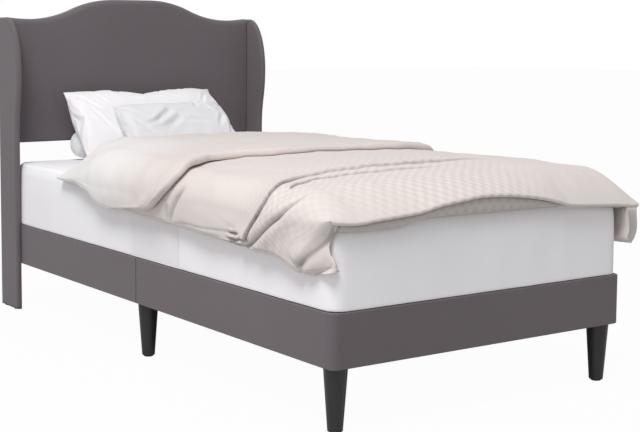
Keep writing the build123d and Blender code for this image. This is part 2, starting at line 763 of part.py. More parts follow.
# Each station: share of the length from the foot, how far the sides swing out (in waves),
# how much the hem is lifted, how much the crown is lowered, the lift of the belly,
# and whether the turned-back layer lies on it
duvet_stations = [
    (0.000, -2.2, -2, 56, 104, 0),
    (0.015, 0.8, -20, 22, 96, 0),
    (0.040, 1.6, -30, 10, 0, 0),
    (0.095, 1.0, -12, 2, 0, 0),
    (0.170, -0.4, 0, 0, 0, 0),
    (0.245, 1.0, 4, 0, 0, 0),
    (0.325, -1.0, 8, 0, 0, 0),
    (0.430, 0.6, 12, -1, 0, 0),
    (0.550, -1.0, 8, -2, 0, 0),
    (0.640, 0.2, 10, -4, 0, 0),
    (0.660, 0.2, 26, -4, 0, 1),
    (0.740, 0.3, 20, -6, 0, 1),
    (0.820, -0.4, 52, -10, 0, 1),
    (0.900, -1.6, 78, -14, 0, 1),
    (0.965, -3.2, 84, -14, 0, 1),
    (1.000, -12.0, 100, 18, 0, 1),
]


def duvet_section(station):
    """A closed outline across the bed: sides, shoulders, crown and belly."""
    share, swing, lift, sink, belly, turned = station
    layer = turned * duvet_flap
    y = y_duvet_foot + share * (y_duvet_head - y_duvet_foot)
    half = duvet_half_width + swing * duvet_wave + layer / 2
    hem = mattress_top - duvet_drop + lift
    crown = mattress_top + duvet_loft - sink + layer
    shoulder = max(crown - duvet_loft * duvet_shoulder, hem + duvet_hem_side)
    edge = crown - duvet_crown_rise
    turn = duvet_shoulder_width
    shoulder_mid = (half - turn * duvet_bow, edge - (edge - shoulder) * duvet_bow)
    brow, side, foot = (half - turn, edge), (half, shoulder), (half, hem)
    inner = (half - duvet_wall, hem)
    right = [ThreePointArc(brow, shoulder_mid, side), Line(side, foot), Line(foot, inner)]
    left = [mirror(edge, about=Plane.YZ) for edge in right]
    crest = ThreePointArc((-brow[0], edge), (0, crown), brow)
    under = ThreePointArc((-inner[0], hem), (0, hem + belly + duvet_under_rise), inner)
    face = make_face(Curve() + right + left + [crest, under])
    return Plane(origin=(0, y, 0), x_dir=(1, 0, 0), z_dir=(0, -1, 0)) * face


quilt = loft([duvet_section(station) for station in duvet_stations])
add("duvet", quilt - mattress_form(rest_gap))


# Pillows: crowned, with drawn-in sides between pointed corners


def pillow_form(width, height, thickness, rim):
    """A pillow lying flat on the XY plane, its middle at the origin."""
    sections = []
    for share in pillow_stations:
        swell = 1 - share**2
        half = height / 2 - pillow_waist * pillow_draw * swell
        rise = rim / 2 + (thickness - rim) / 2 * swell**pillow_fullness
        upper = ThreePointArc((-half, 0), (0, rise), (half, 0))
        lower = ThreePointArc((half, 0), (0, -rise), (-half, 0))
        face = make_face(Curve() + [upper, lower])
        place = Plane(origin=(share * width / 2, 0, 0), x_dir=(0, 1, 0), z_dir=(1, 0, 0))
        sections.append(place * face)
    body = loft(sections)
    span = height / 2
    scoop = (span**2 + pillow_waist**2) / (2 * pillow_waist)
    for side in (-1, 1):
        center = side * (width / 2 - pillow_waist + scoop)
        body = body - Pos(center, 0, 0) * Cylinder(scoop, 2 * thickness)
    return body


def lean_on(shape, carriers):
    """Slide a shape towards the headboard until it all but touches what carries it."""
    for _ in range(40):
        gap = min(shape.distance_to(carrier) for carrier in carriers) - rest_gap
        if gap < rest_gap / 4:
            break
        shape = Pos(0, gap, 0) * shape
    return shape


def leaning_pillow(width, height, thickness, center, lean, carriers):
    """A pillow that stands on the mattress and leans back against its carriers."""
    pillow = Rot(lean, 0, 0) * pillow_form(width, height, thickness, pillow_rim)
    low = pillow.bounding_box().min.Z
    pillow = Pos(center, y_duvet_head, mattress_top + rest_gap - low) * pillow
    return lean_on(pillow, carriers)


bolster = pillow_form(bolster_width, bolster_depth, bolster_height, bolster_rim)
y_bolster = y_panel_front - rest_gap - bolster_depth / 2
bolster = Pos(bolster_center, y_bolster, mattress_top + rest_gap + bolster_height / 2) * bolster
back_pillow = leaning_pillow(
    back_pillow_width,
    back_pillow_height,
    back_pillow_thickness,
    back_pillow_center,
    back_pillow_angle,
    [bolster, panel_skin],
)
front_pillow = leaning_pillow(
    front_pillow_width,
    front_pillow_height,
    front_pillow_thickness,
    front_pillow_center,
    front_pillow_angle,
    [back_pillow],
)
add("bolster", bolster)
add("back_pillow", back_pillow)
add("front_pillow", front_pillow)

os.makedirs("parts", exist_ok=True)
for name, solids in parts.items():
    shape = solids[0] if len(solids) == 1 else Compound(children=solids)
    export_step(shape, f"parts/{name}.step")
    print(name, len(solids), round(sum(s.volume for s in solids)))
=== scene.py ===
import math

import bpy
import numpy as np
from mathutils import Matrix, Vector, noise


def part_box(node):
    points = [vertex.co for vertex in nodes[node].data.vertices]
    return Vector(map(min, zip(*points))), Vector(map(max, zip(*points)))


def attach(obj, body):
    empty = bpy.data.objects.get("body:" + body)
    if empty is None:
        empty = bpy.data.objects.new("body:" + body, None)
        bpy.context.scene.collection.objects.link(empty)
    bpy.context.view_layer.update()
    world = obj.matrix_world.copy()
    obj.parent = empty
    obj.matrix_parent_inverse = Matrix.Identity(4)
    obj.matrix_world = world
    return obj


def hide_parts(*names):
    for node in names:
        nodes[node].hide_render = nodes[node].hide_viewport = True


bl_info = {
    "name": "Wingback bed",
    "version": (1, 0),
    "blender": (4, 5, 0),
    "location": "3D View > Sidebar > Bed",
    "description": "Dresses the frame of an upholstered wingback bed with its cloth and bedding",
    "category": "Object",
}

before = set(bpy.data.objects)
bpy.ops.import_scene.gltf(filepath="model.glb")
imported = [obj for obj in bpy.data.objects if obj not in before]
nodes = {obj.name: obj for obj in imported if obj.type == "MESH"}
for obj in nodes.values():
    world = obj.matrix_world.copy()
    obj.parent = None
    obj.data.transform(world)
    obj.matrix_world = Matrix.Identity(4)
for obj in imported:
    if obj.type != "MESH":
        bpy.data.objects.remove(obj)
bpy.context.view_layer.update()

mattress_low, mattress_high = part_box("mattress")
panel_low, panel_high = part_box("headboard_cover")
wing_low, wing_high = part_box("wing_cover_right")
MATTRESS_TOP = mattress_high[2]
MATTRESS_HEIGHT = mattress_high[2] - mattress_low[2]
MATTRESS_HALF_WIDTH, MATTRESS_HALF_LENGTH = 0.495, 0.950
MATTRESS_MIDDLE = -0.009  # along the bed
SHEET_GAP = 0.0012  # between the mattress and what lies on it
DUVET_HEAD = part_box("duvet")[1][1]
WING_BACK = wing_high[1]
WHITE = (1, 1, 1, 1)


# Sizes and colours a user may change


class BedColours(bpy.types.PropertyGroup):
    """Colours of the bed's cloths and woods."""

    upholstery: bpy.props.FloatVectorProperty(
        name="Upholstery", description="Cloth of the frame",
        subtype="COLOR", default=(0.119, 0.0995, 0.110),
    )
    legs: bpy.props.FloatVectorProperty(
        name="Legs", description="Stained wood of the legs",
        subtype="COLOR", default=(0.013, 0.011, 0.012),
    )
    boards: bpy.props.FloatVectorProperty(
        name="Boards", description="Bare boards inside the frame",
        subtype="COLOR", default=(0.52, 0.38, 0.23),
    )
    slats: bpy.props.FloatVectorProperty(
        name="Slats", description="Wood of the slats",
        subtype="COLOR", default=(0.70, 0.54, 0.35),
    )
    mattress: bpy.props.FloatVectorProperty(
        name="Mattress", description="Sheet on the mattress",
        subtype="COLOR", default=(0.90, 0.885, 0.905),
    )
    duvet: bpy.props.FloatVectorProperty(
        name="Duvet", description="Cloth of the duvet",
        subtype="COLOR", default=(0.702, 0.638, 0.610),
    )
    pillow: bpy.props.FloatVectorProperty(
        name="Back pillow", description="White pillow case",
        subtype="COLOR", default=(0.845, 0.83, 0.845),
    )
    front_pillow: bpy.props.FloatVectorProperty(
        name="Front pillow", description="Grey pillow case",
        subtype="COLOR", default=(0.72, 0.715, 0.735),
    )


class BedSizes(bpy.types.PropertyGroup):
    """Sizes of the soft things."""

    thread: bpy.props.FloatProperty(
        name="Thread", description="Thickness of the upholstery's threads",
        unit="LENGTH", default=0.0011,
    )
    quilting: bpy.props.FloatProperty(
        name="Quilting", description="Side of the duvet's quilted squares",
        unit="LENGTH", default=0.033,
    )
    turned_layer: bpy.props.FloatProperty(
        name="Turned layer", description="Thickness of the turned-back layer",
        unit="LENGTH", default=0.017,
    )
    pillow_swell: bpy.props.FloatProperty(
        name="Pillow swell", description="Most that a pillow's cloth may move as it fills",
        unit="LENGTH", default=0.075,
    )


def colours():
    return bpy.context.scene.bed_colours


def sizes():
    return bpy.context.scene.bed_sizes


# Shader maths written as plain sums


class Value:
    """A socket that takes part in sums."""

    def __init__(self, graph, socket):
        self.graph = graph
        self.socket = socket

    def maths(self, operation, *terms):
        return self.graph.node("ShaderNodeMath", {"operation": operation}, dict(enumerate(terms)))

    def __add__(self, other):
        return self.maths("ADD", self, other)

    def __sub__(self, other):
        return self.maths("SUBTRACT", self, other)

    def __rsub__(self, other):
        return self.maths("SUBTRACT", other, self)

    def __mul__(self, other):
        return self.maths("MULTIPLY", self, other)

    def __truediv__(self, other):
        return self.maths("DIVIDE", self, other)

    def __rtruediv__(self, other):
        return self.maths("DIVIDE", other, self)

    __radd__, __rmul__ = __add__, __mul__

    def sine(self):
        return self.maths("SINE", self)

    def size(self):
        return self.maths("ABSOLUTE", self)

    def larger(self, other):
        return self.maths("MAXIMUM", self, other)


class Graph:
    """The nodes of a material or of the world."""

    def __init__(self, owner):
        owner.use_nodes = True
        self.tree = owner.node_tree

    def node(self, kind, settings, inputs, output=0):
        """Add a node: its settings first, then the values or links of its sockets."""
        made = self.tree.nodes.new(kind)
        for key, value in settings.items():
            setattr(made, key, value)
        for key, value in inputs.items():
            if isinstance(value, Value):
                self.link(value, made.inputs[key])
            else:
                made.inputs[key].default_value = value
        return Value(self, made.outputs[output])

    def link(self, value, socket):
        self.tree.links.new(value.socket, socket)


class Look(Graph):
    """One material, built node by node."""

    def __init__(self, name, roughness, **constants):
        self.material = bpy.data.materials.new(name)
        super().__init__(self.material)
        self.shader = self.tree.nodes["Principled BSDF"]
        for socket, value in {"Roughness": roughness, **constants}.items():
            self.shader.inputs[socket.replace("_", " ")].default_value = value

    def feed(self, socket, value):
        self.link(value, self.shader.inputs[socket])

    def bump(self, height, strength, distance):
        inputs = {"Height": height, "Strength": strength, "Distance": distance}
        self.feed("Normal", self.node("ShaderNodeBump", {}, inputs))

    def place(self):
        return self.node("ShaderNodeTexCoord", {}, {}, "Object")

    def part(self, vector, axis):
        """One of a vector's three numbers."""
        return self.node("ShaderNodeSeparateXYZ", {}, {"Vector": vector}, axis)

    def distance(self, place, point):
        settings = {"operation": "DISTANCE"}
        return self.node("ShaderNodeVectorMath", settings, {0: place, 1: point}, "Value")

    def noise(self, place, scale, detail=2.0):
        """Soft noise; a scale of three numbers squeezes it along the axes."""
        if isinstance(scale, tuple):
            place = self.node("ShaderNodeMapping", {}, {"Vector": place, "Scale": scale})
            scale = 1.0
        inputs = {"Vector": place, "Scale": scale, "Detail": detail}
        return self.node("ShaderNodeTexNoise", {}, inputs)

    def woven(self, place, thread):
        """Threads that run along X, Y and Z, as one height."""
        fine, run = 1 / thread, 1 / (thread * 14)
        along_x = self.noise(place, (run, fine, fine), 1.0)
        along_y = self.noise(place, (fine, run, fine), 1.0)
        along_z = self.noise(place, (fine, fine, run), 1.0)
        return (along_x + along_y + along_z) / 3

    def ease(self, value, low, high, least=0.0, most=1.0):
        """A soft step: the least below one value, the most past the other."""
        inputs = {"Value": value, 1: low, 2: high, 3: least, 4: most}
        return self.node("ShaderNodeMapRange", {"interpolation_type": "SMOOTHSTEP"}, inputs)

    def blended(self, mask, first, second):
        """A colour or a socket, and another colour over it, by a mask."""
        inputs = {0: mask, 6: first, 7: (*second, 1)}
        return self.node("ShaderNodeMix", {"data_type": "RGBA"}, inputs, 2)

    def shades(self, mask, colour, dark, light):
        """A colour between a darker and a lighter share of itself, by a mask."""
        return self.blended(mask, (*tinted(colour, dark), 1), tinted(colour, light))


def tinted(colour, share):
    return tuple(min(part * share, 1.0) for part in colour)


def mingled(*parts):
    """A mask about a half, from patterns about a half and their weights."""
    mask = 0.5
    for pattern, weight in parts:
        mask = (pattern - 0.5) * weight + mask
    return mask


def upholstery_look(name, colour, seam=None):
    """Woven upholstery; a seam darkens the cloth at a place along the bed."""
    look = Look(name, 0.82, Sheen_Weight=0.18, Sheen_Roughness=0.5)
    place = look.place()
    threads = look.woven(place, sizes().thread)
    slubs = look.noise(place, 240.0)
    clouds = look.noise(place, 2.6)
    cloth = look.shades(mingled((threads, 1.3), (slubs, 0.7), (clouds, 0.5)), colour, 0.82, 1.2)
    if seam is not None:
        edge = look.ease((look.part(place, 1) - seam).size(), 0.0055, 0.0025)
        cloth = look.blended(edge * 0.6, cloth, tinted(colour, 0.4))
    look.feed("Base Color", cloth)
    look.bump(threads + look.noise(place, 35.0) * 0.8, 0.35, 0.0009)
    return look.material


def wood_look(name, colour, axis, roughness, contrast=1.0, coat=0.0):
    """Grain that runs along an axis of the bed."""
    look = Look(name, roughness, Coat_Weight=coat, Coat_Roughness=0.25)
    place = look.place()
    grain, pores = (
        look.noise(place, tuple(run if k == axis else fine for k in range(3)), detail)
        for run, fine, detail in ((2.4, 90.0, 4.0), (9.0, 420.0, 2.0))
    )
    mask = mingled((grain, 1.9 * contrast), (pores, 0.7 * contrast))
    look.feed("Base Color", look.shades(mask, colour, 0.66, 1.22))
    look.feed("Roughness", pores * 0.25 + (roughness - 0.12))
    look.bump(grain * 0.5 + pores, 0.3, 0.0005)
    return look.material


def metal_look(name, colour, metallic, roughness):
    """Coated or bare metal with faint smears."""
    look = Look(name, roughness, Metallic=metallic)
    place = look.place()
    smears = look.noise(place, 14.0)
    look.feed("Base Color", look.shades(smears, colour, 0.85, 1.15))
    look.feed("Roughness", smears * 0.2 + (roughness - 0.1))
    look.bump(look.noise(place, 900.0), 0.15, 0.0002)
    return look.material


def plain_look(name, colour, roughness, grain_scale=600.0, height=0.0003):
    """One colour with a fine grain, for plastic, foam, tape and lining."""
    look = Look(name, roughness)
    grain = look.noise(look.place(), grain_scale)
    look.feed("Base Color", look.shades(grain, colour, 0.85, 1.12))
    look.bump(grain, 0.3, height)
    return look.material


# The mattress sheet's folded panel, darkened with painted shade below its top: its ends along the
# bed, and its top
PANEL_START, PANEL_END = -0.241, 0.055


def linen_look(name, colour, thread, crease, panel=False):
    """Plain bedding cloth: a fine weave, soft creases and a faint change of tone; with a panel,
    painted shade over the sheet's folded panel.
    """
    look = Look(name, 0.78, Sheen_Weight=0.12, Sheen_Roughness=0.4)
    place = look.place()
    threads = look.woven(place, thread)
    clouds = look.noise(place, 6.0)
    rumple = look.noise(place, (34.0, 12.0, 30.0), 3.0)
    cloth = look.shades(mingled((threads, 0.5), (clouds, 0.6)), colour, 0.94, 1.05)
    if panel:
        # Painted shade: the sheet's folded panel is darker below its top
        lengthwise = look.part(place, 1)
        start = look.ease(lengthwise, PANEL_START - 0.003, PANEL_START + 0.003)
        end = look.ease(lengthwise, PANEL_END + 0.03, PANEL_END - 0.03)
        low = look.ease(look.part(place, 2), 0.50, 0.42)
        cloth = look.blended(start * end * low, cloth, tinted(colour, 0.90))
    look.feed("Base Color", cloth)
    look.bump(rumple * (3.0 * crease) + threads * 0.25, 0.35, 0.0016)
    return look.material


QUILTED_MIDDLE = (-0.14, -0.86, 0.62)  # the quilting shows most here and fades with the distance
WASHED_CORNER = (-0.50, 0.34, 0.58)  # the turned-back corner is paler
WASHED_COLOUR = (0.79, 0.775, 0.775)
HEM_STITCH = 0.017  # from the left hem


def duvet_look(name, colour, quilting):
    """Bedding cloth woven in small raised squares that follow the cloth's own map; painted shade
    darkens its creases.
    """
    look = Look(name, 0.8, Sheen_Weight=0.12, Sheen_Roughness=0.4)
    place = look.place()
    flat = look.node("ShaderNodeTexCoord", {}, {}, "UV")
    across, lengthwise = look.part(flat, 0), look.part(flat, 1)
    # Painted shade that the duvet's pieces carry at their points: in creases, along the turned
    # layer's seam and under the foot
    painted_shade = look.node("ShaderNodeAttribute", {"attribute_name": "painted_shade"}, {}, "Fac")
    turn = 2 * math.pi / quilting
    raised = (across * turn).sine() * (lengthwise * turn).sine() * 0.5 + 0.5
    threads = look.woven(place, 0.001)
    clouds = look.noise(place, 5.0)
    rumple = look.noise(place, (28.0, 16.0, 28.0), 3.0)
    patch = look.noise(place, 2.2) - look.distance(place, QUILTED_MIDDLE) * 1.1
    strength = look.ease(patch, 0.0, 0.40, 0.10, 1.4)
    stitch = look.ease((across - HEM_STITCH).size(), 0.0032, 0.0012)
    mask = mingled((raised, strength * 1.05), (clouds, 0.4), (threads, 0.4))
    cloth = look.shades(mask, colour, 0.92, 1.06)
    washed = look.ease(look.distance(place, WASHED_CORNER), 0.44, 0.16, 0.0, 0.8)
    cloth = look.blended(washed, cloth, WASHED_COLOUR)
    # The points' painted shade darkens the cloth; so does the stitch line beside the left hem
    shade = (painted_shade * 0.95).larger(stitch * 0.22)
    look.feed("Base Color", look.blended(shade, cloth, tinted(colour, 0.30)))
    look.bump(raised * strength * 0.9 + rumple * 0.7 + threads * 0.2 - stitch * 0.5, 0.4, 0.0022)
    return look.material


# Shaping helpers


def along(place, keys):
    """A smooth value between (place, value) keys, with no overshoot."""
    xs, ys = (np.array(part, float) for part in zip(*keys))
    step = np.diff(xs)
    rise = np.diff(ys) / step
    slope = np.zeros(len(xs))
    slope[0], slope[-1] = rise[0], rise[-1]
    for i in range(1, len(xs) - 1):
        if rise[i - 1] * rise[i] > 0:
            slope[i] = 2 * rise[i - 1] * rise[i] / (rise[i - 1] + rise[i])
    place = np.clip(place, xs[0], xs[-1])
    k = np.clip(np.searchsorted(xs, place, side="right") - 1, 0, len(step) - 1)
    s = (place - xs[k]) / step[k]
    low = ys[k] * (1 + 2 * s) * (1 - s) ** 2 + step[k] * slope[k] * s * (1 - s) ** 2
    high = ys[k + 1] * s * s * (3 - 2 * s) + step[k] * slope[k + 1] * s * s * (s - 1)
    return low + high


def smooth(edge0, edge1, value):
    """A soft step from 0 at one edge to 1 at the other."""
    s = np.clip((value - edge0) / (edge1 - edge0), 0, 1)
    return s * s * (3 - 2 * s)


def bell(gap, breadth):
    """1 where the gap is 0, and little past the breadth."""
    return np.exp(-((gap / breadth) ** 2))


def mixed(first, second, share):
    """The first where the share is 0, the second where it is 1."""
    return first * (1 - share) + second * share


def quarter(count):
    """Angles of a quarter turn."""
    return np.linspace(0, math.pi / 2, count)


def lumps(points, size, seed):
    """Noise from -1 to 1 at points, with bumps about a size apart; the seed shifts it."""
    shift = Vector((seed * 7.31, seed * 3.17, seed * 1.93))
    flat = points.reshape(-1, 3) / size
    values = [noise.noise(Vector(point) + shift) for point in flat]
    return np.array(values).reshape(points.shape[:-1])


def upward_normals(points):
    """Normals of a grid of points, turned so that the middle one points up."""
    normal = np.cross(np.gradient(points, axis=1), np.gradient(points, axis=0))
    normal /= np.maximum(np.linalg.norm(normal, axis=2, keepdims=True), 1e-9)
    return normal * np.sign(normal[len(normal) // 2, normal.shape[1] // 2, 2])


def path_distance(points, path):
    """Distance from each point to a path of straight runs, and how far along it, 0 to 1."""
    path = np.array(path, float)
    runs = np.linalg.norm(np.diff(path, axis=0), axis=1)
    total = runs.sum()
    best = np.full(points.shape[:-1], 1e9)
    share = np.zeros(points.shape[:-1])
    done = 0.0
    for start, end, run in zip(path[:-1], path[1:], runs):
        line = (end - start) / run
        reach = np.clip((points - start) @ line, 0, run)
        gap = np.linalg.norm(points - start - reach[..., None] * line, axis=-1)
        nearer = gap < best
        best = np.where(nearer, gap, best)
        share = np.where(nearer, (done + reach) / total, share)
        done += run
    return best, share


def deselect():
    bpy.ops.object.select_all(action="DESELECT")


def only(obj):
    deselect()
    obj.select_set(True)
    bpy.context.view_layer.objects.active = obj


def edit_all(obj, *steps):
    """Run edit-mode operators, each with its settings, on the whole of a piece."""
    only(obj)
    bpy.ops.object.mode_set(mode="EDIT")
    bpy.ops.mesh.select_all(action="SELECT")
    for operator, settings in steps:
        operator(**settings)
    bpy.ops.object.mode_set(mode="OBJECT")


def grid_piece(name, points, flat_map):
    """A grid primitive whose points are moved to their places, mapped by its flat cloth."""
    rows, columns = points.shape[:2]
    deselect()
    bpy.ops.mesh.primitive_grid_add(x_subdivisions=columns - 1, y_subdivisions=rows - 1, size=1)
    obj = bpy.context.object
    obj.name = name
    mesh = obj.data
    if len(mesh.vertices) != rows * columns:
        raise RuntimeError(f"{name}: {len(mesh.vertices)} points, not {rows * columns}")
    write_points(obj, points)
    corners = np.zeros(len(mesh.loops), dtype=int)
    mesh.loops.foreach_get("vertex_index", corners)
    mesh.uv_layers[0].data.foreach_set("uv", flat_map.reshape(-1, 2)[corners].reshape(-1))
    return obj


def join(name, pieces, merge):
    """Join pieces into one; points nearer than a distance become one."""
    deselect()
    for piece in pieces:
        piece.select_set(True)
    bpy.context.view_layer.objects.active = pieces[0]
    bpy.ops.object.join()
    obj = bpy.context.object
    obj.name = obj.data.name = name
    edit_all(
        obj,
        (bpy.ops.mesh.remove_doubles, {"threshold": merge}),
        (bpy.ops.mesh.normals_make_consistent, {"inside": False}),
    )
    return obj


def quilt_shell(name, outer, inner, flat_map, dark=None, painted_shade_under=None):
    """Close an upper and a lower grid that share their rims into one padded piece; each face may
    carry painted shade at its points.
    """
    inner = inner.copy()
    for edge in (np.s_[0, :], np.s_[-1, :], np.s_[:, 0], np.s_[:, -1]):
        inner[edge] = outer[edge]
    if painted_shade_under is None:
        painted_shade_under = dark
    halves = []
    for part, points, depth in (("_top", outer, dark), ("_under", inner, painted_shade_under)):
        half = grid_piece(name + part, points, flat_map)
        # Painted shade for the cloth's material, stored at each face's points
        if depth is not None:
            shade = half.data.attributes.new("painted_shade", "FLOAT", "POINT")
            shade.data.foreach_set("value", depth.astype(np.float32).reshape(-1))
        halves.append(half)
    edit_all(halves[1], (bpy.ops.mesh.flip_normals, {}))
    return join(name, halves, 0.00005)


def read(obj, what="co"):
    """The places, or the normals, of a piece's points."""
    values = np.zeros(len(obj.data.vertices) * 3)
    obj.data.vertices.foreach_get(what, values)
    return values.reshape(-1, 3)


def write_points(obj, points):
    obj.data.vertices.foreach_set("co", points.reshape(-1))
    obj.data.update()


def dress(obj, material, body, replaced):
    """Give a padded piece its cloth and its body, and hide the node it stands for."""
    only(obj)
    bpy.ops.object.shade_smooth()
    obj.data.materials.clear()
    obj.data.materials.append(material)
    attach(obj, body)
    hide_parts(replaced)


def paint_nodes(names, material):
    for name in names:
        mesh = nodes[name].data
        mesh.materials.clear()
        mesh.materials.append(material)


def named(*starts):
    return [name for name in nodes if name.startswith(starts)]


# The bedding's body: one surface that the duvet and its turned-back layer both follow

CLOTH_WIDTH = 1.45  # along the section, from hem to hem
CLOTH_LENGTH = 1.5

# Keys: a place along the bed, then the height of the crown, brow or hem, how far out the side
# stands, or how wide (turn) and how deep (drop) the bend from the top to the side is
crown_line = [
    (-1.02, 0.630), (-0.90, 0.636), (-0.77, 0.640), (-0.62, 0.645), (-0.45, 0.643), (-0.1, 0.640),
    (0.54, 0.638),
]
left_side = [
    (-1.02, 0.550), (-0.93, 0.556), (-0.77, 0.560), (-0.62, 0.546), (-0.45, 0.560), (-0.2, 0.552),
    (0.54, 0.548),
]
left_brow = [
    (-1.02, 0.608), (-0.90, 0.612), (-0.77, 0.616), (-0.62, 0.612), (-0.45, 0.618), (-0.2, 0.616),
    (0.1, 0.618), (0.3, 0.626), (0.54, 0.634),
]
left_hem = [
    (-1.02, 0.426), (-0.97, 0.411), (-0.90, 0.399), (-0.77, 0.429), (-0.62, 0.433), (-0.50, 0.439),
    (-0.31, 0.446), (-0.10, 0.448), (0.13, 0.455), (0.22, 0.468), (0.29, 0.500), (0.43, 0.515),
    (0.54, 0.520),
]
left_turn = [(-1.02, 0.085), (-0.85, 0.100), (0.0, 0.100), (0.3, 0.120), (0.54, 0.170)]
left_drop = [(-1.02, 0.080), (0.0, 0.092), (0.54, 0.112)]
right_side = [
    (-1.02, 0.580), (-0.93, 0.578), (-0.77, 0.568), (-0.6, 0.558), (-0.3, 0.563), (0.1, 0.555),
    (0.54, 0.548),
]
right_brow = [
    (-1.02, 0.618), (-0.87, 0.622), (-0.77, 0.622), (-0.65, 0.626), (-0.2, 0.620), (0.3, 0.622),
    (0.54, 0.618),
]
right_hem = [
    (-1.02, 0.404), (-0.90, 0.400), (-0.6, 0.43), (-0.2, 0.445), (0.1, 0.47), (0.54, 0.505),
]
right_turn = [(-1.02, 0.085), (-0.90, 0.078), (-0.5, 0.068), (0.54, 0.075)]
right_drop = [(-1.02, 0.078), (0.54, 0.078)]
left_keys = (left_side, left_brow, left_hem, left_turn, left_drop)
right_keys = (right_side, right_brow, right_hem, right_turn, right_drop)

# The head's left corner slumps to these heights, by the distance from the middle
slumped = [
    (0, 0.638), (0.30, 0.634), (0.365, 0.622), (0.40, 0.602), (0.438, 0.582), (0.465, 0.562),
    (0.495, 0.5475), (0.513, 0.5385), (0.530, 0.527), (0.545, 0.517), (0.56, 0.510),
]


def half_section(y, left):
    """Dense points of half a section across the bed, from the crown's middle to the hem."""
    keys = left_keys if left else right_keys
    side, brow, hem, turn, drop = (along(y, part) for part in keys)
    drop = min(drop, brow - hem - 0.005)
    crown = along(y, crown_line)
    x = np.linspace(0, side - turn, 140)
    top = np.stack([x, crown + (brow - crown) * (x / (side - turn)) ** 2.4], axis=1)
    angle = quarter(50)[1:]
    bend_x = side - turn + turn * np.sin(angle)
    bend = np.stack([bend_x, brow - drop * (1 - np.cos(angle))], axis=1)
    low = np.linspace(0, 1, 30)[1:]
    belly = 0.004 * np.sin(math.pi * low) - 0.004 * low
    hang = np.stack([side + belly, brow - drop + (hem - brow + drop) * low], axis=1)
    half = np.vstack([top, bend, hang])
    if left:
        slump = smooth(0.26, 0.53, y)
        half[:, 1] = mixed(half[:, 1], along(half[:, 0], slumped), slump)
        half[:, 0] *= -1
    return half


def body_rows(places, columns):
    """Evenly spaced points across the section at each place, from the left hem to the right."""
    rows = []
    for y in places:
        section = np.vstack([half_section(y, True)[::-1], half_section(y, False)[1:]])
        steps = np.linalg.norm(np.diff(section, axis=0), axis=1)
        run = np.concatenate([[0], np.cumsum(steps)])
        even = np.linspace(0, run[-1], columns)
        rows.append(np.stack([np.interp(even, run, section[:, k]) for k in (0, 1)], axis=1))
    return np.array(rows)


body_places = np.linspace(-1.02, 0.54, 200)
body_columns = 420
body_table = body_rows(body_places, body_columns)


def body_at(share, y):
    """Points of the bedding's body at shares across (0 left hem, 1 right hem) and places along."""
    share, y = np.asarray(share, float), np.asarray(y, float)
    column = np.clip(share, 0, 1) * (body_columns - 1)
    row = (y - body_places[0]) / (body_places[1] - body_places[0])
    row = np.clip(row, 0, len(body_places) - 1.001)
    c0 = np.minimum(column.astype(int), body_columns - 2)
    r0 = row.astype(int)
    fc = (column - c0)[..., None]
    fr = (row - r0)[..., None]
    near = mixed(body_table[r0, c0], body_table[r0, c0 + 1], fc)
    far = mixed(body_table[r0 + 1, c0], body_table[r0 + 1, c0 + 1], fc)
    flat = mixed(near, far, fr)
    return np.stack([flat[..., 0], y, flat[..., 1]], axis=-1)


# Creases as (share across, place along)
upper_crease = [
    (0.017, -0.656), (0.029, -0.662), (0.048, -0.682), (0.070, -0.709), (0.088, -0.728),
    (0.114, -0.736), (0.144, -0.724), (0.178, -0.694), (0.220, -0.676), (0.276, -0.686),
    (0.342, -0.699), (0.437, -0.712), (0.517, -0.708), (0.602, -0.700), (0.74, -0.68),
]
lower_crease = [
    (0.136, -0.776), (0.150, -0.770), (0.170, -0.758), (0.199, -0.743), (0.224, -0.741),
    (0.245, -0.750), (0.281, -0.757), (0.338, -0.762), (0.405, -0.772), (0.52, -0.775),
]
short_crease = [
    (0.0005, -0.596), (0.0035, -0.622), (0.010, -0.652), (0.020, -0.686), (0.029, -0.706),
    (0.052, -0.755), (0.070, -0.790), (0.085, -0.818), (0.111, -0.846), (0.129, -0.859),
    (0.160, -0.870),
]
ear_crease = [
    (0.010, -0.872), (0.036, -0.915), (0.050, -0.950), (0.064, -0.974), (0.080, -0.992),
    (0.094, -1.004),
]
under_flap = [(0.098, -0.330), (0.066, -0.285), (0.035, -0.252), (0.003, -0.232)]
beside_flap = [(0.052, -0.232), (0.030, -0.218), (0.003, -0.222)]
hem_band = [
    (0.012, -0.26), (0.0165, -0.34), (0.0194, -0.449), (0.0230, -0.493), (0.0253, -0.542),
    (0.0262, -0.580),
]
gathers = (
    ((0.021, -0.656), (0.0205, -0.632), (0.0170, -0.605), (0.0140, -0.575), (0.0122, -0.535)),
    ((0.0145, -0.612), (0.0085, -0.575), (0.0045, -0.545), (0.0015, -0.505)),
    ((0.0120, -0.628), (0.0070, -0.600), (0.0040, -0.575), (0.0010, -0.545)),
    ((0.0245, -0.560), (0.0262, -0.585), (0.0285, -0.612)),
)

# Each small crease: its line, depth and width, how much of its ends fades out, how much
# painted shade it gets, and the ridge beside it as its height, distance and breadth
NO_RIDGE = (0.0, 0.0, 1.0)
small_creases = (
    (short_crease, 0.010, 0.0050, (0.03, 0.3), 0.6, (0.010, 0.02, 0.022)),
    (ear_crease, 0.012, 0.0055, (0.1, 0.3), 0.6, (0.007, 0.022, 0.016)),
    (under_flap, 0.010, 0.011, (0.45, 0.2), 0.5, NO_RIDGE),
    (beside_flap, 0.006, 0.010, (0.3, 0.3), 0.25, NO_RIDGE),
    (hem_band, 0.0022, 0.0032, (0.2, 0.1), 0.35, NO_RIDGE),
    *((line, 0.0085, 0.0030, (0.12, 0.3), 0.8, (0.0045, 0.0075, 0.0040)) for line in gathers),
)


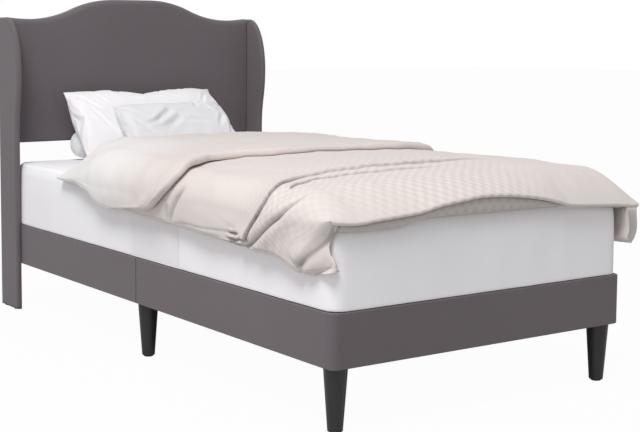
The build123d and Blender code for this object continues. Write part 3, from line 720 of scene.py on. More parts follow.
def crease_path(keys):
    """A crease's line on the bedding's body, with its corners rounded."""
    path = np.array(keys, float)
    for _ in range(3):
        first = path[:-1] * 0.75 + path[1:] * 0.25
        second = path[:-1] * 0.25 + path[1:] * 0.75
        cut = np.stack([first, second], axis=1).reshape(-1, 2)
        path = np.vstack([path[:1], cut, path[-1:]])
    return body_at(path[:, 0], path[:, 1])


def groove(points, keys, depth, width, ends):
    """A crease's valley, the painted shade along it, the gap to its line, and how much of it is
    left.
    """
    gap, reach = path_distance(points, crease_path(keys))
    fade = smooth(0, ends[0], reach) * smooth(0, ends[1], 1 - reach)
    dark = np.minimum(1, 2.2 * fade * bell(gap, width * 0.72))
    return -depth * fade * bell(gap, width), dark, gap, fade


def bedding_relief(points, share, y):
    """Puffs, creases and small folds of the duvet's upper face, and the painted shade in each fold.
    """
    height = 0.0048 * lumps(points, 0.19, 1) + 0.0026 * lumps(points, 0.085, 2)
    height += 0.0014 * lumps(points * np.array([1.0, 0.45, 1.0]), 0.034, 3)
    paler = 1 - 0.5 * smooth(0.2, 0.3, share)

    # Above the upper crease and below the lower one the cloth heaps up
    valley, dark_upper, gap, fade = groove(points, upper_crease, 0.009, 0.0036, (0.01, 0.35))
    above = smooth(-0.006, 0.006, y - along(share, upper_crease))
    height += valley + fade * (0.015 * above + 0.004 * (1 - above)) * np.exp(-gap / 0.045)
    valley, dark_lower, gap, fade = groove(points, lower_crease, 0.008, 0.0036, (0.03, 0.35))
    below = smooth(-0.006, 0.006, along(share, lower_crease) - y)
    height += valley + fade * 0.008 * (1 - below) * np.exp(-gap / 0.02)
    # Painted shade along the two long creases, fainter towards the right
    shades = [dark_upper * paler, 0.9 * dark_lower * paler]

    # Each small crease presses its valley and ridge in and adds its painted shade
    for keys, depth, width, ends, shade, (rise, away, breadth) in small_creases:
        valley, dark, gap, fade = groove(points, keys, depth, width, ends)
        height += valley + fade * rise * bell(gap - away, breadth)
        shades.append(shade * dark)

    # The corner past the ear's crease lies lower and gets a little painted shade
    recess = smooth(0.0, 0.014, along(share, ear_crease) - y) * smooth(0.100, 0.088, share)
    shades.append(0.12 * recess)
    return height - 0.012 * recess, np.maximum.reduce(shades)


def relaxed(face, weight, passes):
    """Even out a grid of points where the weight is above 0, its rims along themselves."""
    rims = [(face[edge], weight[edge]) for edge in (0, -1, np.s_[:, 0], np.s_[:, -1])]
    for _ in range(passes):
        around = (face[:-2, 1:-1] + face[2:, 1:-1] + face[1:-1, :-2] + face[1:-1, 2:]) / 4
        inside = (around - face[1:-1, 1:-1]) * weight[1:-1, 1:-1, None]
        for rim, share in rims:
            rim[1:-1] += ((rim[:-2] + rim[2:]) / 2 - rim[1:-1]) * share[1:-1, None]
        face[1:-1, 1:-1] += inside


def rim_roll(gap, reach):
    """How far a face stands back near its rim, 1 at it and 0 a reach away, like a round edge."""
    inside = np.clip(gap / reach, 0, 1)
    return 1 - np.sqrt(np.maximum(1 - (1 - inside) ** 2, 0))


def spaced(length, keys):
    """Shares of a length whose steps follow the spacings in the keys."""
    fine = np.linspace(0, length, 4000)
    count = np.concatenate([[0], np.cumsum(np.diff(fine) / along(fine[1:], keys))])
    return np.interp(np.linspace(0, count[-1], int(count[-1]) + 1), count, fine) / length


# How far the mattress's sides stand out over the rails, by the height above its underside
mattress_swell = [
    (0, -0.010), (0.0238, -0.006), (0.0243, 0.0262), (0.0265, 0.0282), (0.034, 0.0290),
    (0.06, 0.0290), (0.140, 0.0285), (0.205, 0.026), (0.236, 0.018), (0.246, 0.008),
    (MATTRESS_HEIGHT, 0.0),
]


def mattress_surface(points, gap):
    """Push points out of the mattress's form by a gap."""
    height = np.clip(points[..., 2] - mattress_low[2], 0, MATTRESS_HEIGHT)
    swell = along(height, mattress_swell)
    half = MATTRESS_HALF_WIDTH + swell + gap
    foot = MATTRESS_MIDDLE - MATTRESS_HALF_LENGTH - swell - gap
    head = MATTRESS_MIDDLE + MATTRESS_HALF_LENGTH + swell + gap
    x, y, z = (points[..., axis] for axis in range(3))
    inside = (np.abs(x) < half) & (z < MATTRESS_TOP + gap) & (y > foot) & (y < head)
    lift, out, toe = MATTRESS_TOP + gap - z, half - np.abs(x), y - foot
    up = inside & (lift <= out) & (lift <= toe)
    side = inside & ~up & (out <= toe)
    front = inside & ~up & ~side
    return np.stack([
        np.where(side, np.sign(x) * half, x),
        np.where(front, foot, y),
        np.where(up, MATTRESS_TOP + gap, z),
    ], axis=-1)


# The foot edge: how far it reaches by the share across, and the heights of its underside and
# of the layer under it by the place across
foot_edge = [
    (0.0, -0.992), (0.012, -1.000), (0.036, -0.980), (0.052, -0.970), (0.062, -0.974),
    (0.074, -0.990), (0.09, -1.004), (0.12, -1.007), (0.2, -1.008), (0.5, -1.010), (0.75, -1.006),
    (0.88, -1.004), (0.94, -1.008), (0.97, -1.008), (1.0, -0.996),
]
foot_underside = [
    (-0.56, 0.545), (-0.507, 0.538), (-0.465, 0.535), (-0.394, 0.540), (-0.322, 0.5446),
    (-0.255, 0.550), (-0.187, 0.5625), (-0.125, 0.5695), (-0.038, 0.577), (0.05, 0.5735),
    (0.11, 0.567), (0.179, 0.557), (0.253, 0.541), (0.29, 0.531), (0.40, 0.523), (0.48, 0.518),
    (0.56, 0.510),
]
second_layer = [
    (-0.56, 0.523), (-0.488, 0.5205), (-0.40, 0.518), (-0.33, 0.518), (-0.27, 0.530),
    (-0.22, 0.537), (0.0, 0.536), (0.27, 0.534), (0.32, 0.527), (0.48, 0.514), (0.56, 0.507),
]

# Spacings of the duvet's grid, from the left hem and from the foot
duvet_across = [
    (0, 0.003), (0.02, 0.0038), (0.04, 0.0042), (0.50, 0.0042), (0.80, 0.006), (0.95, 0.009),
    (1.36, 0.008), (1.40, 0.005), (1.45, 0.003),
]
duvet_down = [
    (0, 0.0024), (0.05, 0.003), (0.08, 0.0050), (0.20, 0.0046), (0.23, 0.0036), (0.38, 0.0036),
    (0.42, 0.006), (0.5, 0.008), (1.42, 0.009), (1.48, 0.005), (1.5, 0.004),
]
DUVET_THICK = 0.040
ROLL_START = 0.018  # from the foot to where its rolled edge starts


def roll_foot(outer, under_z, y_foot, to_foot, on_top, start_row):
    """Bring the top down to a thin edge at the foot, which rolls round to the underside."""
    roll, fall, steep = 0.0062, 0.14, 1.9
    fallen = np.clip((fall - (to_foot - ROLL_START)) / fall, 0, 1)
    drop = np.maximum(outer[start_row, :, 2] - (under_z[start_row] + 2 * roll), 0)[None, :]
    slope = np.arctan(steep * drop / fall)
    outer[..., 2] -= on_top * (drop + roll * (1 - np.cos(slope))) * fallen**steep
    turn = slope + np.clip(1 - to_foot / ROLL_START, 0, 1) * (math.pi - slope)
    rolled = (to_foot < ROLL_START) & (on_top > 0)
    share = np.where(rolled, on_top, 0)
    lip_y = mixed(outer[..., 1], y_foot + roll - roll * np.sin(turn), share)
    ease = 0.016 * on_top * (1 - smooth(ROLL_START, 0.15, to_foot))
    outer[..., 1] = np.where(rolled, lip_y, outer[..., 1] - ease)
    outer[..., 2] = mixed(outer[..., 2], under_z + roll + roll * np.cos(turn), share)


def bulge_layer(inner, low_z, under_z, y_foot, to_foot, on_top):
    """Bulge a second layer out under the foot's lifted middle; returns where it shows, which gets
    painted shade.
    """
    reach, back, bulge = 0.060, 0.016, 0.009
    way = np.clip(to_foot / reach, 0, 1)
    swing = np.clip(way / 0.6, 0, 1) * math.pi
    tall = np.maximum(under_z - low_z, 0.0)
    rest = (MATTRESS_TOP + SHEET_GAP - low_z) * smooth(0.6, 0.85, way)
    layer_z = low_z + tall * (0.5 + 0.5 * np.cos(swing)) + rest
    layer_y = y_foot + back - bulge * np.sin(swing) * smooth(0.0, 0.02, tall)
    layer_y += smooth(0.75, 1.0, way) * (reach - back)
    lifted = on_top * (way < 1) * smooth(0.0, 0.004, tall)
    inner[..., 2] = mixed(inner[..., 2], layer_z, lifted)
    inner[..., 1] = mixed(inner[..., 1], layer_y, lifted)
    return lifted * (way < 0.8)


def make_duvet():
    """The duvet, open at the foot, its head edge hidden under the layer that is turned back."""
    down = spaced(CLOTH_LENGTH, duvet_down)
    share, step = np.meshgrid(spaced(CLOTH_WIDTH, duvet_across), down)
    y_foot = along(share, foot_edge)
    y_head = DUVET_HEAD - 0.05 - 0.13 * (1 - smooth(0.05, 0.17, share))
    to_foot = (y_head - y_foot) * step
    y = y_foot + to_foot
    to_head = y_head - y
    to_hem = np.minimum(share, 1 - share) * CLOTH_WIDTH
    points = body_at(share, y)
    normals = upward_normals(points)
    relief, dark = bedding_relief(points, share, y)
    on_top = smooth(0.085, 0.15, to_hem)
    relief = relief * (1 - (0.2 + 0.8 * on_top) * (1 - smooth(0, 0.06, to_foot)))
    outer = points + normals * relief[..., None]
    under_z = along(points[..., 0], foot_underside)
    start_row = np.argmin(np.abs(down * CLOTH_LENGTH - ROLL_START))
    roll_foot(outer, under_z, y_foot, to_foot, on_top, start_row)

    # The sides turn in round the mattress's corners
    left = share < 0.5
    near_corner = smooth(0.10, 0.0, to_foot) ** 1.3 * (1 - on_top)
    height_share = np.clip((points[..., 2] - 0.40) / 0.14, 0, 1) ** 3
    turn_in = np.where(left, 0.012 + 0.035 * height_share, 0.002 + 0.03 * height_share)
    turn_in *= np.sign(points[..., 0]) * near_corner
    outer[..., 0] -= turn_in

    # The rims are round: at the hems, at the blunt foot of the sides and at the head
    hem_back = DUVET_THICK * 0.5 * rim_roll(to_hem, 0.018)
    foot_back = (1 - on_top) * np.where(left, 0.005, 0.016) * rim_roll(to_foot, 0.020)
    head_back = 0.03 * rim_roll(to_head, 0.03)
    outer -= normals * np.maximum.reduce([hem_back, foot_back, head_back])[..., None]

    # The underside lies flat on the mattress, and the left side is thin at the foot
    wafer = (DUVET_THICK - 0.012) * (1 - smooth(0, 0.09, to_foot)) * (1 - on_top) * left
    inner = points - normals * (DUVET_THICK - wafer - hem_back)[..., None]
    inner[..., 0] -= turn_in
    flat_top = smooth(0.56, 0.60, points[..., 2]) * smooth(0.0, 0.09, to_hem - 0.12)
    inner[..., 2] = mixed(inner[..., 2], MATTRESS_TOP + SHEET_GAP, flat_top)
    inner = mattress_surface(inner, SHEET_GAP)

    # Two layers show under the lifted middle of the foot, and two at the right hang
    low_z = along(points[..., 0], second_layer)
    layer_shade = bulge_layer(inner, low_z, under_z, y_foot, to_foot, on_top)
    right_hang = smooth(0.91, 0.94, share)
    inner[..., 1] -= 0.020 * right_hang * bell(to_foot - 0.015, 0.011)
    inner[..., 0] -= 0.012 * right_hang * smooth(0.06, 0.0, to_foot)
    corner = 0.8 * (1 - smooth(0.035, 0.10, to_foot))
    relaxed(outer, corner * (1 - on_top * smooth(0.10, 0.20, to_hem)), 10)
    relaxed(inner, corner * (1 - on_top), 10)
    flat_map = np.stack([share * CLOTH_WIDTH, step * CLOTH_LENGTH], axis=-1)
    # The top carries the creases' painted shade; the underside gets painted shade where the second
    # layer shows under the foot
    return quilt_shell("duvet_cloth", outer, inner, flat_map, dark, 0.35 * layer_shade)


# The turned-back layer: its edge along the bed by the share across, the radius of its turn at
# the head, and the spacings of its grid
turn_edge = [
    (0.0, -0.030), (0.016, -0.066), (0.033, -0.150), (0.044, -0.180), (0.063, -0.222),
    (0.086, -0.262), (0.112, -0.278), (0.138, -0.262), (0.165, -0.236), (0.193, -0.212),
    (0.221, -0.192), (0.28, -0.197), (0.33, -0.216), (0.38, -0.234), (0.43, -0.240), (0.51, -0.232),
    (0.61, -0.222), (0.715, -0.224), (0.80, -0.198), (0.856, -0.174), (0.92, -0.15), (1.0, -0.13),
]
turn_radius = [
    (0, 0.0015), (0.12, 0.002), (0.25, 0.036), (0.5, 0.048), (0.84, 0.045), (0.93, 0.016),
    (1, 0.008),
]
layer_across = [(0, 0.003), (0.03, 0.005), (0.6, 0.006), (0.9, 0.007), (1.42, 0.007), (1.45, 0.003)]
layer_down = [
    (0, 0.0022), (0.03, 0.003), (0.06, 0.006), (0.66, 0.008), (0.74, 0.005), (0.85, 0.005),
]
LAYER_LENGTH = 0.85
SEAM_BACK = 0.030  # from the edge to the seam that runs beside it


def make_turned_layer():
    """The duvet's head end, turned back over it, thin at its left tip."""
    layer = sizes().turned_layer
    even, step = np.meshgrid(spaced(CLOTH_WIDTH, layer_across), spaced(LAYER_LENGTH, layer_down))
    share = even + 0.024 * (1 - smooth(0.05, 0.32, step)) * (1 - smooth(0, 0.2, even))
    y_edge = along(share, turn_edge)
    radius = along(share, turn_radius)
    y_head = DUVET_HEAD + 0.004 - 0.004 * smooth(0, 0.1, share)
    run = y_head - radius - y_edge
    whole = run + math.pi * radius
    reach = step * whole
    y = y_edge + np.minimum(reach, run)
    angle = np.clip((reach - run) / radius, 0, math.pi)
    points = body_at(share, y)
    normals = upward_normals(body_at(share, y_edge + (y_head - y_edge) * step))

    soft = 0.0050 * lumps(points, 0.21, 31) + 0.0030 * lumps(points, 0.09, 32)
    soft += 0.0016 * lumps(points * np.array([0.5, 1.0, 1.0]), 0.035, 33)
    seam_share = np.linspace(0.22, 0.92, 60)
    seam_line = body_at(seam_share, along(seam_share, turn_edge) + SEAM_BACK)
    gap, line = path_distance(points, seam_line)
    seam = smooth(0, 0.1, line) * smooth(0, 0.1, 1 - line) * bell(gap, 0.0042)
    puff = 0.006 * bell(reach - 0.045, 0.04)
    lift = 0.012 * smooth(0.30, 0.12, share) * smooth(0.02, 0.06, share) * np.exp(-reach / 0.10)
    slack = 1 - 0.6 * smooth(0.22, 0.48, y) * (1 - smooth(0.08, 0.24, share))
    outer = points + normals * ((soft + layer + puff) * slack + lift - 0.0045 * seam)[..., None]

    to_hem = np.minimum(even, 1 - share) * CLOTH_WIDTH
    tip_share = 1 - smooth(0.11, 0.19, share)
    edge_back = np.maximum.reduce([
        (layer * 0.8 + puff) * rim_roll(reach, 0.013),
        layer * 0.7 * rim_roll(to_hem, 0.013),
        (layer + puff) * slack * tip_share * rim_roll(whole - reach, 0.014),
    ])
    outer -= normals * edge_back[..., None]
    relief, _ = bedding_relief(points, share, y)
    inner = points + normals * (np.maximum(relief, -0.002) + 0.0015 + lift * 0.7)[..., None]
    for face, depth in ((outer, 0.0), (inner, layer)):
        turn = np.maximum(radius - depth, 0.002)
        face[..., 1] += turn * np.sin(angle)
        face -= normals * (turn * (1 - np.cos(angle)))[..., None]

    tip = 0.8 * smooth(0.16, 0.06, share) * smooth(0.30, 0.42, y)
    relaxed(outer, tip, 14)
    relaxed(inner, tip, 14)
    outer = mattress_surface(outer, 0.003)
    inner = mattress_surface(inner, 0.0015)
    relaxed(outer, tip, 3)
    flat_map = np.stack([share * CLOTH_WIDTH, step * 0.62 + 2.0], axis=-1)
    # Painted shade along the seam's furrow
    return quilt_shell("duvet_turned_back", outer, inner, flat_map, 0.35 * seam)


class BED_OT_duvet(bpy.types.Operator):
    """Make the duvet and the layer of it that is turned back at the head"""

    bl_idname = "bed.duvet"
    bl_label = "Duvet"

    def execute(self, context):
        material = duvet_look("duvet_cloth", colours().duvet, sizes().quilting)
        dress(make_duvet(), material, "duvet", "duvet")
        dress(make_turned_layer(), material, "duvet", "duvet")
        return {"FINISHED"}


# Mattress

# Heights by the share of the cube's height, and places along it by the cube's, so that the
# points are close where the form changes
mattress_rise = [
    (0, 0), (0.06, 0.0236), (0.16, 0.0262), (0.30, 0.036), (0.42, 0.06), (0.9, 0.232),
    (1, MATTRESS_HEIGHT),
]
mattress_run = [(-1, -1), (-0.92, -0.92), (-0.44, -0.285), (-0.14, -0.220), (0.92, 0.92), (1, 1)]


def make_mattress():
    """The mattress in its sheet: its corners are round, and its sides swell over the rails."""
    deselect()
    bpy.ops.mesh.primitive_cube_add(size=2)
    mattress = bpy.context.object
    mattress.name = "mattress_sheet"
    edit_all(mattress, (bpy.ops.mesh.subdivide, {"number_cuts": 70}))
    unit = read(mattress)
    rise = along(np.clip((unit[:, 2] + 1) / 2, 0, 1), mattress_rise)
    swell = along(rise, mattress_swell) - SHEET_GAP
    corner = 0.040
    width = MATTRESS_HALF_WIDTH + swell
    length = MATTRESS_HALF_LENGTH + np.where(unit[:, 1] > 0, 0.4 * swell, swell)
    x, y = unit[:, 0] * width, along(unit[:, 1], mattress_run) * length
    over_x = np.abs(x) - (width - corner)
    over_y = np.abs(y) - (length - corner)
    both = (over_x > 0) & (over_y > 0)
    reach = np.maximum(over_x, over_y) / np.sqrt(np.maximum(over_x**2 + over_y**2, 1e-12))
    x = np.where(both, np.sign(x) * (width - corner + over_x * reach), x)
    y = np.where(both, np.sign(y) * (length - corner + over_y * reach), y)
    edge = np.maximum(np.abs(unit[:, 0]), np.abs(unit[:, 1]))
    z = mattress_low[2] + rise - 0.006 * smooth(0.93, 1.0, edge) * (unit[:, 2] > 0.999)
    points = np.stack([x, y + MATTRESS_MIDDLE, z + 0.0005], axis=1)
    write_points(mattress, points)

    normals = read(mattress, "normal")
    pulls = lumps(points * np.array([1.0, 1.0, 0.22]), 0.07, 11) * 0.0012
    soft = lumps(points, 0.3, 12) * 0.0022
    sides = smooth(0.2, 0.6, 1 - np.abs(normals[:, 2]))
    panel = smooth(PANEL_START - 0.005, PANEL_START + 0.005, points[:, 1])
    panel *= smooth(PANEL_END + 0.011, PANEL_END - 0.001, points[:, 1])
    panel *= smooth(0.50, 0.44, points[:, 2])
    move = (pulls + soft - 0.0022 * panel) * sides - 0.0015
    write_points(mattress, points + normals * move[:, None])
    return mattress


class BED_OT_mattress(bpy.types.Operator):
    """Make the mattress in its sheet"""

    bl_idname = "bed.mattress"
    bl_label = "Mattress"

    def execute(self, context):
        # The sheet's folded panel gets painted shade
        look = linen_look("mattress_sheet", colours().mattress, 0.0007, 0.25, panel=True)
        dress(make_mattress(), look, "mattress", "mattress")
        return {"FINISHED"}


# Pillows

FILL_FRAMES = 22
pillow_cloth = {
    "quality": 6, "mass": 0.3, "use_pressure": True, "tension_stiffness": 18,
    "compression_stiffness": 18, "shear_stiffness": 6, "bending_stiffness": 0.3,
    "shrink_min": -0.03,
}


def simulate_fill(pillow, pressure):
    """Blow a weightless pillow up by a pressure inside it."""
    cloth = pillow.modifiers.new("Fill", "CLOTH")
    for key, value in pillow_cloth.items():
        setattr(cloth.settings, key, value)
    cloth.settings.uniform_pressure_force = pressure
    cloth.settings.effector_weights.gravity = 0
    cloth.point_cache.frame_start = 1
    cloth.point_cache.frame_end = FILL_FRAMES
    for step in range(1, FILL_FRAMES + 1):
        bpy.context.scene.frame_set(step)
    only(pillow)
    bpy.ops.object.modifier_apply(modifier="Fill")
    bpy.context.scene.frame_set(1)


def fill_pillow(name, size, waist, grid, pressure):
    """Sew two cloths together round their rim and let them fill; the pillow lies flat on XY."""
    width, height, thickness = size
    across, up = np.meshgrid(np.linspace(-1, 1, grid[0]), np.linspace(-1, 1, grid[1]))
    flat_map = np.stack([across * width / 2, up * height / 2], axis=-1)
    x = flat_map[..., 0] * (1 - waist / (width / 2) * (1 - up**2) * 0.9)
    y = flat_map[..., 1] * (1 - waist / (height / 2) * (1 - across**2) * 0.9)
    start = 0.25
    z = thickness / 2 * ((1 - across**2) * (1 - up**2)) ** 0.45 * start
    top, under = np.stack([x, y, z], axis=-1), np.stack([x, y, -z], axis=-1)
    pillow = quilt_shell(name, top, under, flat_map)
    before = read(pillow)
    simulate_fill(pillow, pressure)
    move = read(pillow) - before
    far = np.linalg.norm(move, axis=1, keepdims=True)
    points = before + move * np.minimum(1, sizes().pillow_swell / np.maximum(far, 1e-9))
    points -= points.mean(axis=0)
    points *= np.array(size) / np.ptp(points, axis=0)
    write_points(pillow, square_up(points, width, height, waist * 0.15))
    return pillow


def square_up(points, width, height, waist):
    """Stretch a filled pillow's outline back to a rectangle whose sides pull in a little."""
    last = 32
    for axis, other, size, far in ((1, 0, height, width), (0, 1, width, height)):
        bins = np.linspace(-far / 2, far / 2, last + 1)
        place = np.clip(points[:, other], bins[0], bins[-1])
        index = np.clip(np.round((place - bins[0]) / (bins[1] - bins[0])).astype(int), 0, last)
        for side in (-1, 1):
            out = side * points[:, axis]
            reach = np.array([np.max(out[index == k], initial=size * 0.3) for k in range(last + 1)])
            reach[1:-1] = (reach[:-2] + 2 * reach[1:-1] + reach[2:]) / 4
            wanted = size / 2 - waist * (1 - (bins / (far / 2)) ** 2)
            stretch = np.interp(place, bins, wanted / reach)
            points[:, axis] = np.where(out > 0, points[:, axis] * stretch, points[:, axis])
    return points


def wrinkle(pillow, creases, width, height, seed):
    """Press creases into a pillow that lies flat, gather its corners and ruffle its rim."""
    only(pillow)
    finer = pillow.modifiers.new("Finer", "SUBSURF")
    finer.levels = finer.render_levels = 1
    bpy.ops.object.modifier_apply(modifier=finer.name)
    points = read(pillow)
    normals = read(pillow, "normal")
    flat = points * np.array([1, 1, 0])
    facing = smooth(-0.1, 0.5, normals[:, 2])
    move = 0.0022 * lumps(points, 0.11, seed) + 0.0009 * lumps(points, 0.035, seed + 1)
    for start, end, depth, breadth in creases:
        gap, reach = path_distance(flat, [(*start, 0), (*end, 0)])
        fade = smooth(0, 0.25, reach) * smooth(0, 0.45, 1 - reach) * facing
        move += depth * fade * (0.6 * bell(gap - 1.9 * breadth, breadth) - bell(gap, breadth))
    for sign_x, sign_y in ((-1, -1), (-1, 1), (1, -1), (1, 1)):
        across = flat[:, 0] - sign_x * width / 2
        up = flat[:, 1] - sign_y * height / 2
        far = np.hypot(across, up)
        fan = np.cos(np.arctan2(up, across) * 17 + seed)
        move += 0.0016 * fan * smooth(0.004, 0.02, far) * bell(far, 0.055)
    points += normals * move[:, None]
    edge = np.maximum(np.abs(flat[:, 0]) / (width / 2), np.abs(flat[:, 1]) / (height / 2))
    rim = bell(points[:, 2], 0.006) * smooth(0.8, 1.0, edge)
    points[:, 2] += rim * 0.0030 * lumps(flat, 0.028, seed + 2)
    points[:, 1] += rim * 0.0012 * lumps(flat, 0.016, seed + 3)
    write_points(pillow, points)


def lean_pillow(pillow, node, degrees):
    """Turn a flat pillow up to its lean and put it where its node stands."""
    low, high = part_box(node)
    points = read(pillow)
    angle = math.radians(degrees)
    cos, sin = math.cos(angle), math.sin(angle)
    x, y, z = points.T
    turned = np.stack([x, y * cos - z * sin, y * sin + z * cos], axis=1)
    turned[:, 0] += (low[0] + high[0]) / 2
    turned[:, 1] += high[1] - turned[:, 1].max()
    turned[:, 2] += low[2] - turned[:, 2].min()
    write_points(pillow, turned)


def make_pillow(node, size, waist, grid, pressure, creases, seed, degrees):
    """Fill, crease and lean one pillow; size is its width, height and thickness."""
    pillow = fill_pillow(node + "_case", size, waist, grid, pressure)
    wrinkle(pillow, creases, size[0], size[1], seed)
    lean_pillow(pillow, node, degrees)
    return pillow


# Creases of the pillows as they lie flat: start, end, depth and breadth
back_creases = (
    ((-0.29, 0.13), (-0.22, 0.03), 0.0040, 0.0070), ((-0.27, 0.06), (-0.20, -0.06), 0.0045, 0.0065),
    ((-0.22, 0.12), (-0.17, 0.05), 0.0030, 0.0060), ((-0.15, 0.145), (-0.11, 0.10), 0.0025, 0.0055),
    ((0.05, 0.15), (0.09, 0.10), 0.0022, 0.0060), ((0.27, 0.12), (0.21, 0.04), 0.0035, 0.0070),
)
front_creases = (
    ((0.112, 0.134), (0.165, 0.060), 0.0070, 0.0070),
    ((0.112, 0.130), (0.085, 0.075), 0.0040, 0.0080),
    ((-0.010, 0.085), (-0.135, 0.000), 0.0062, 0.0110),
    ((-0.060, 0.040), (-0.170, 0.000), 0.0045, 0.0090),
    ((0.020, 0.050), (-0.080, -0.020), 0.0040, 0.0120),
    ((0.205, 0.060), (0.150, -0.020), 0.0050, 0.0090),
    ((0.215, 0.020), (0.195, -0.060), 0.0050, 0.0070),
    ((-0.215, 0.110), (-0.150, 0.060), 0.0045, 0.0080),
    ((-0.200, 0.040), (-0.120, -0.040), 0.0045, 0.0085),
    ((0.020, 0.030), (0.120, 0.010), 0.0030, 0.0090),
)


class BED_OT_back_pillow(bpy.types.Operator):
    """Make the white pillow that leans on the headboard"""

    bl_idname = "bed.back_pillow"
    bl_label = "Back pillow"

    def execute(self, context):
        pillow = make_pillow(
            "back_pillow", size=(0.640, 0.322, 0.118), waist=0.022, grid=(96, 52), pressure=5.0,
            creases=back_creases, seed=41, degrees=50,
        )
        look = linen_look("white_cotton", colours().pillow, 0.0006, 0.5)
        dress(pillow, look, "back_pillow", "back_pillow")
        return {"FINISHED"}


class BED_OT_front_pillow(bpy.types.Operator):
    """Make the grey pillow that leans on the white one"""

    bl_idname = "bed.front_pillow"
    bl_label = "Front pillow"

    def execute(self, context):
        pillow = make_pillow(
            "front_pillow", size=(0.460, 0.274, 0.088), waist=0.018, grid=(84, 50), pressure=4.0,
            creases=front_creases, seed=51, degrees=45,
        )
        look = linen_look("grey_cotton", colours().front_pillow, 0.0006, 0.6)
        dress(pillow, look, "front_pillow", "front_pillow")
        return {"FINISHED"}


def make_bolster():
    """The low round pillow: a long round form with pleats towards its ends."""
    low, high = (np.array(corner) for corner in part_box("bolster"))
    half = (high - low) / 2 * np.array([0.912, 0.985, 1.02])
    deselect()
    bpy.ops.mesh.primitive_uv_sphere_add(segments=144, ring_count=90, radius=1)
    bolster = bpy.context.object
    bolster.name = "bolster_case"
    unit = read(bolster)
    run = unit[:, 2]
    turn = np.arctan2(unit[:, 1], unit[:, 0])
    radius = (1 - np.abs(run) ** 12.0) ** 0.5
    radius += 0.03 * np.cos(turn * 22) * smooth(0.90, 0.99, np.abs(run)) * radius
    points = np.stack([run, radius * np.cos(turn), radius * np.sin(turn)], axis=1) * half
    points += (low + high) / 2 + np.array([0, 0, 0.002])
    points[:, 2] = np.maximum(points[:, 2], low[2])
    points += (lumps(points, 0.05, 21) * 0.0012)[:, None] * np.array([0, -1, 0.3])
    write_points(bolster, points)
    edit_all(bolster, (bpy.ops.mesh.normals_make_consistent, {"inside": False}))
    return bolster


class BED_OT_bolster(bpy.types.Operator):
    """Make the low round pillow with gathered ends"""

    bl_idname = "bed.bolster"
    bl_label = "Bolster"

    def execute(self, context):
        look = linen_look("bolster_cotton", (0.80, 0.82, 0.83), 0.0006, 0.4)
        dress(make_bolster(), look, "bolster", "bolster")
        return {"FINISHED"}


# Frame finishes


def upholstery():
    """The frame's one upholstery material."""
    name = "frame_upholstery"
    return bpy.data.materials.get(name) or upholstery_look(name, colours().upholstery)


# The headboard's top edge, as the CAD draws it
CREST, HOLLOW, CORNER = panel_high[2], panel_high[2] - 0.076, panel_high[2] - 0.070
CREST_FLAT, HOLLOW_PLACE, PANEL_HALF = 0.075, 0.435, 0.525
SKIN = 0.0014  # thickness of the upholstery


def panel_top(x):
    """Height of the headboard's top edge at places across."""
    x = np.abs(x)
    run, drop = (HOLLOW_PLACE - CREST_FLAT) / 2, (CREST - HOLLOW) / 2
    radius = (run**2 + drop**2) / (2 * drop)
    tail, climb = PANEL_HALF - HOLLOW_PLACE, CORNER - HOLLOW
    tail_radius = (tail**2 + climb**2) / (2 * climb)
    past_crest, past_hollow = np.maximum(x - CREST_FLAT, 0), np.maximum(x - HOLLOW_PLACE, 0)
    crown = CREST - radius + np.sqrt(np.maximum(radius**2 - past_crest**2, 0))
    dip = HOLLOW + radius - np.sqrt(np.maximum(radius**2 - (HOLLOW_PLACE - x) ** 2, 0))
    end = HOLLOW + tail_radius - np.sqrt(tail_radius**2 - past_hollow**2)
    return np.where(x < CREST_FLAT + run, crown, np.where(x < HOLLOW_PLACE, dip, end))


def panel_wrap(inset, back):
    """A sheet that wraps the panel from its back lower edge round the front to its back top."""
    half = PANEL_HALF - inset
    spread = math.pi / 2 * 0.93  # the columns stand closer towards the sides
    x = half * np.sin(np.linspace(-1, 1, 190) * spread) / math.sin(spread)
    top = panel_top(x) - inset
    low = panel_low[2] + inset
    front = panel_low[1] + inset
    round_top, round_low, round_side = 0.021 - inset, 0.009 - inset, 0.006
    low_end, top_end = front + round_low, front + round_top
    rows = [(back + (low_end - back) * step, low) for step in np.linspace(0, 1, 5)[:-1]]
    for turn in quarter(8):
        rise = round_low * (1 - math.cos(turn))
        rows.append((low_end - round_low * math.sin(turn), low + rise))
    for step in np.linspace(0, 1, 60)[1:-1]:
        rows.append((front, low + round_low + (top - round_top - low - round_low) * step))
    for turn in quarter(14):
        fall = round_top * (1 - math.sin(turn))
        rows.append((top_end - round_top * math.cos(turn), top - fall))
    rows += [(top_end + (back - top_end) * step, top) for step in np.linspace(0, 1, 6)[1:]]
    points = np.array([np.stack([x, y + 0 * x, z + 0 * x], axis=-1) for y, z in rows])

    # The padding draws in at the upper and lower edges and at the sides
    to_edge = np.minimum(points[..., 2] - low, top[None, :] - points[..., 2])
    to_side = np.clip((np.abs(x) - half + round_side) / round_side, 0, 1)
    side = round_side * (1 - np.sqrt(np.maximum(1 - to_side**2, 0)))
    drawn = 0.0030 * bell(to_edge, 0.05) + side[None, :]
    points[..., 1] += drawn * (1 - smooth(0, round_top, points[..., 1] - front))
    return points


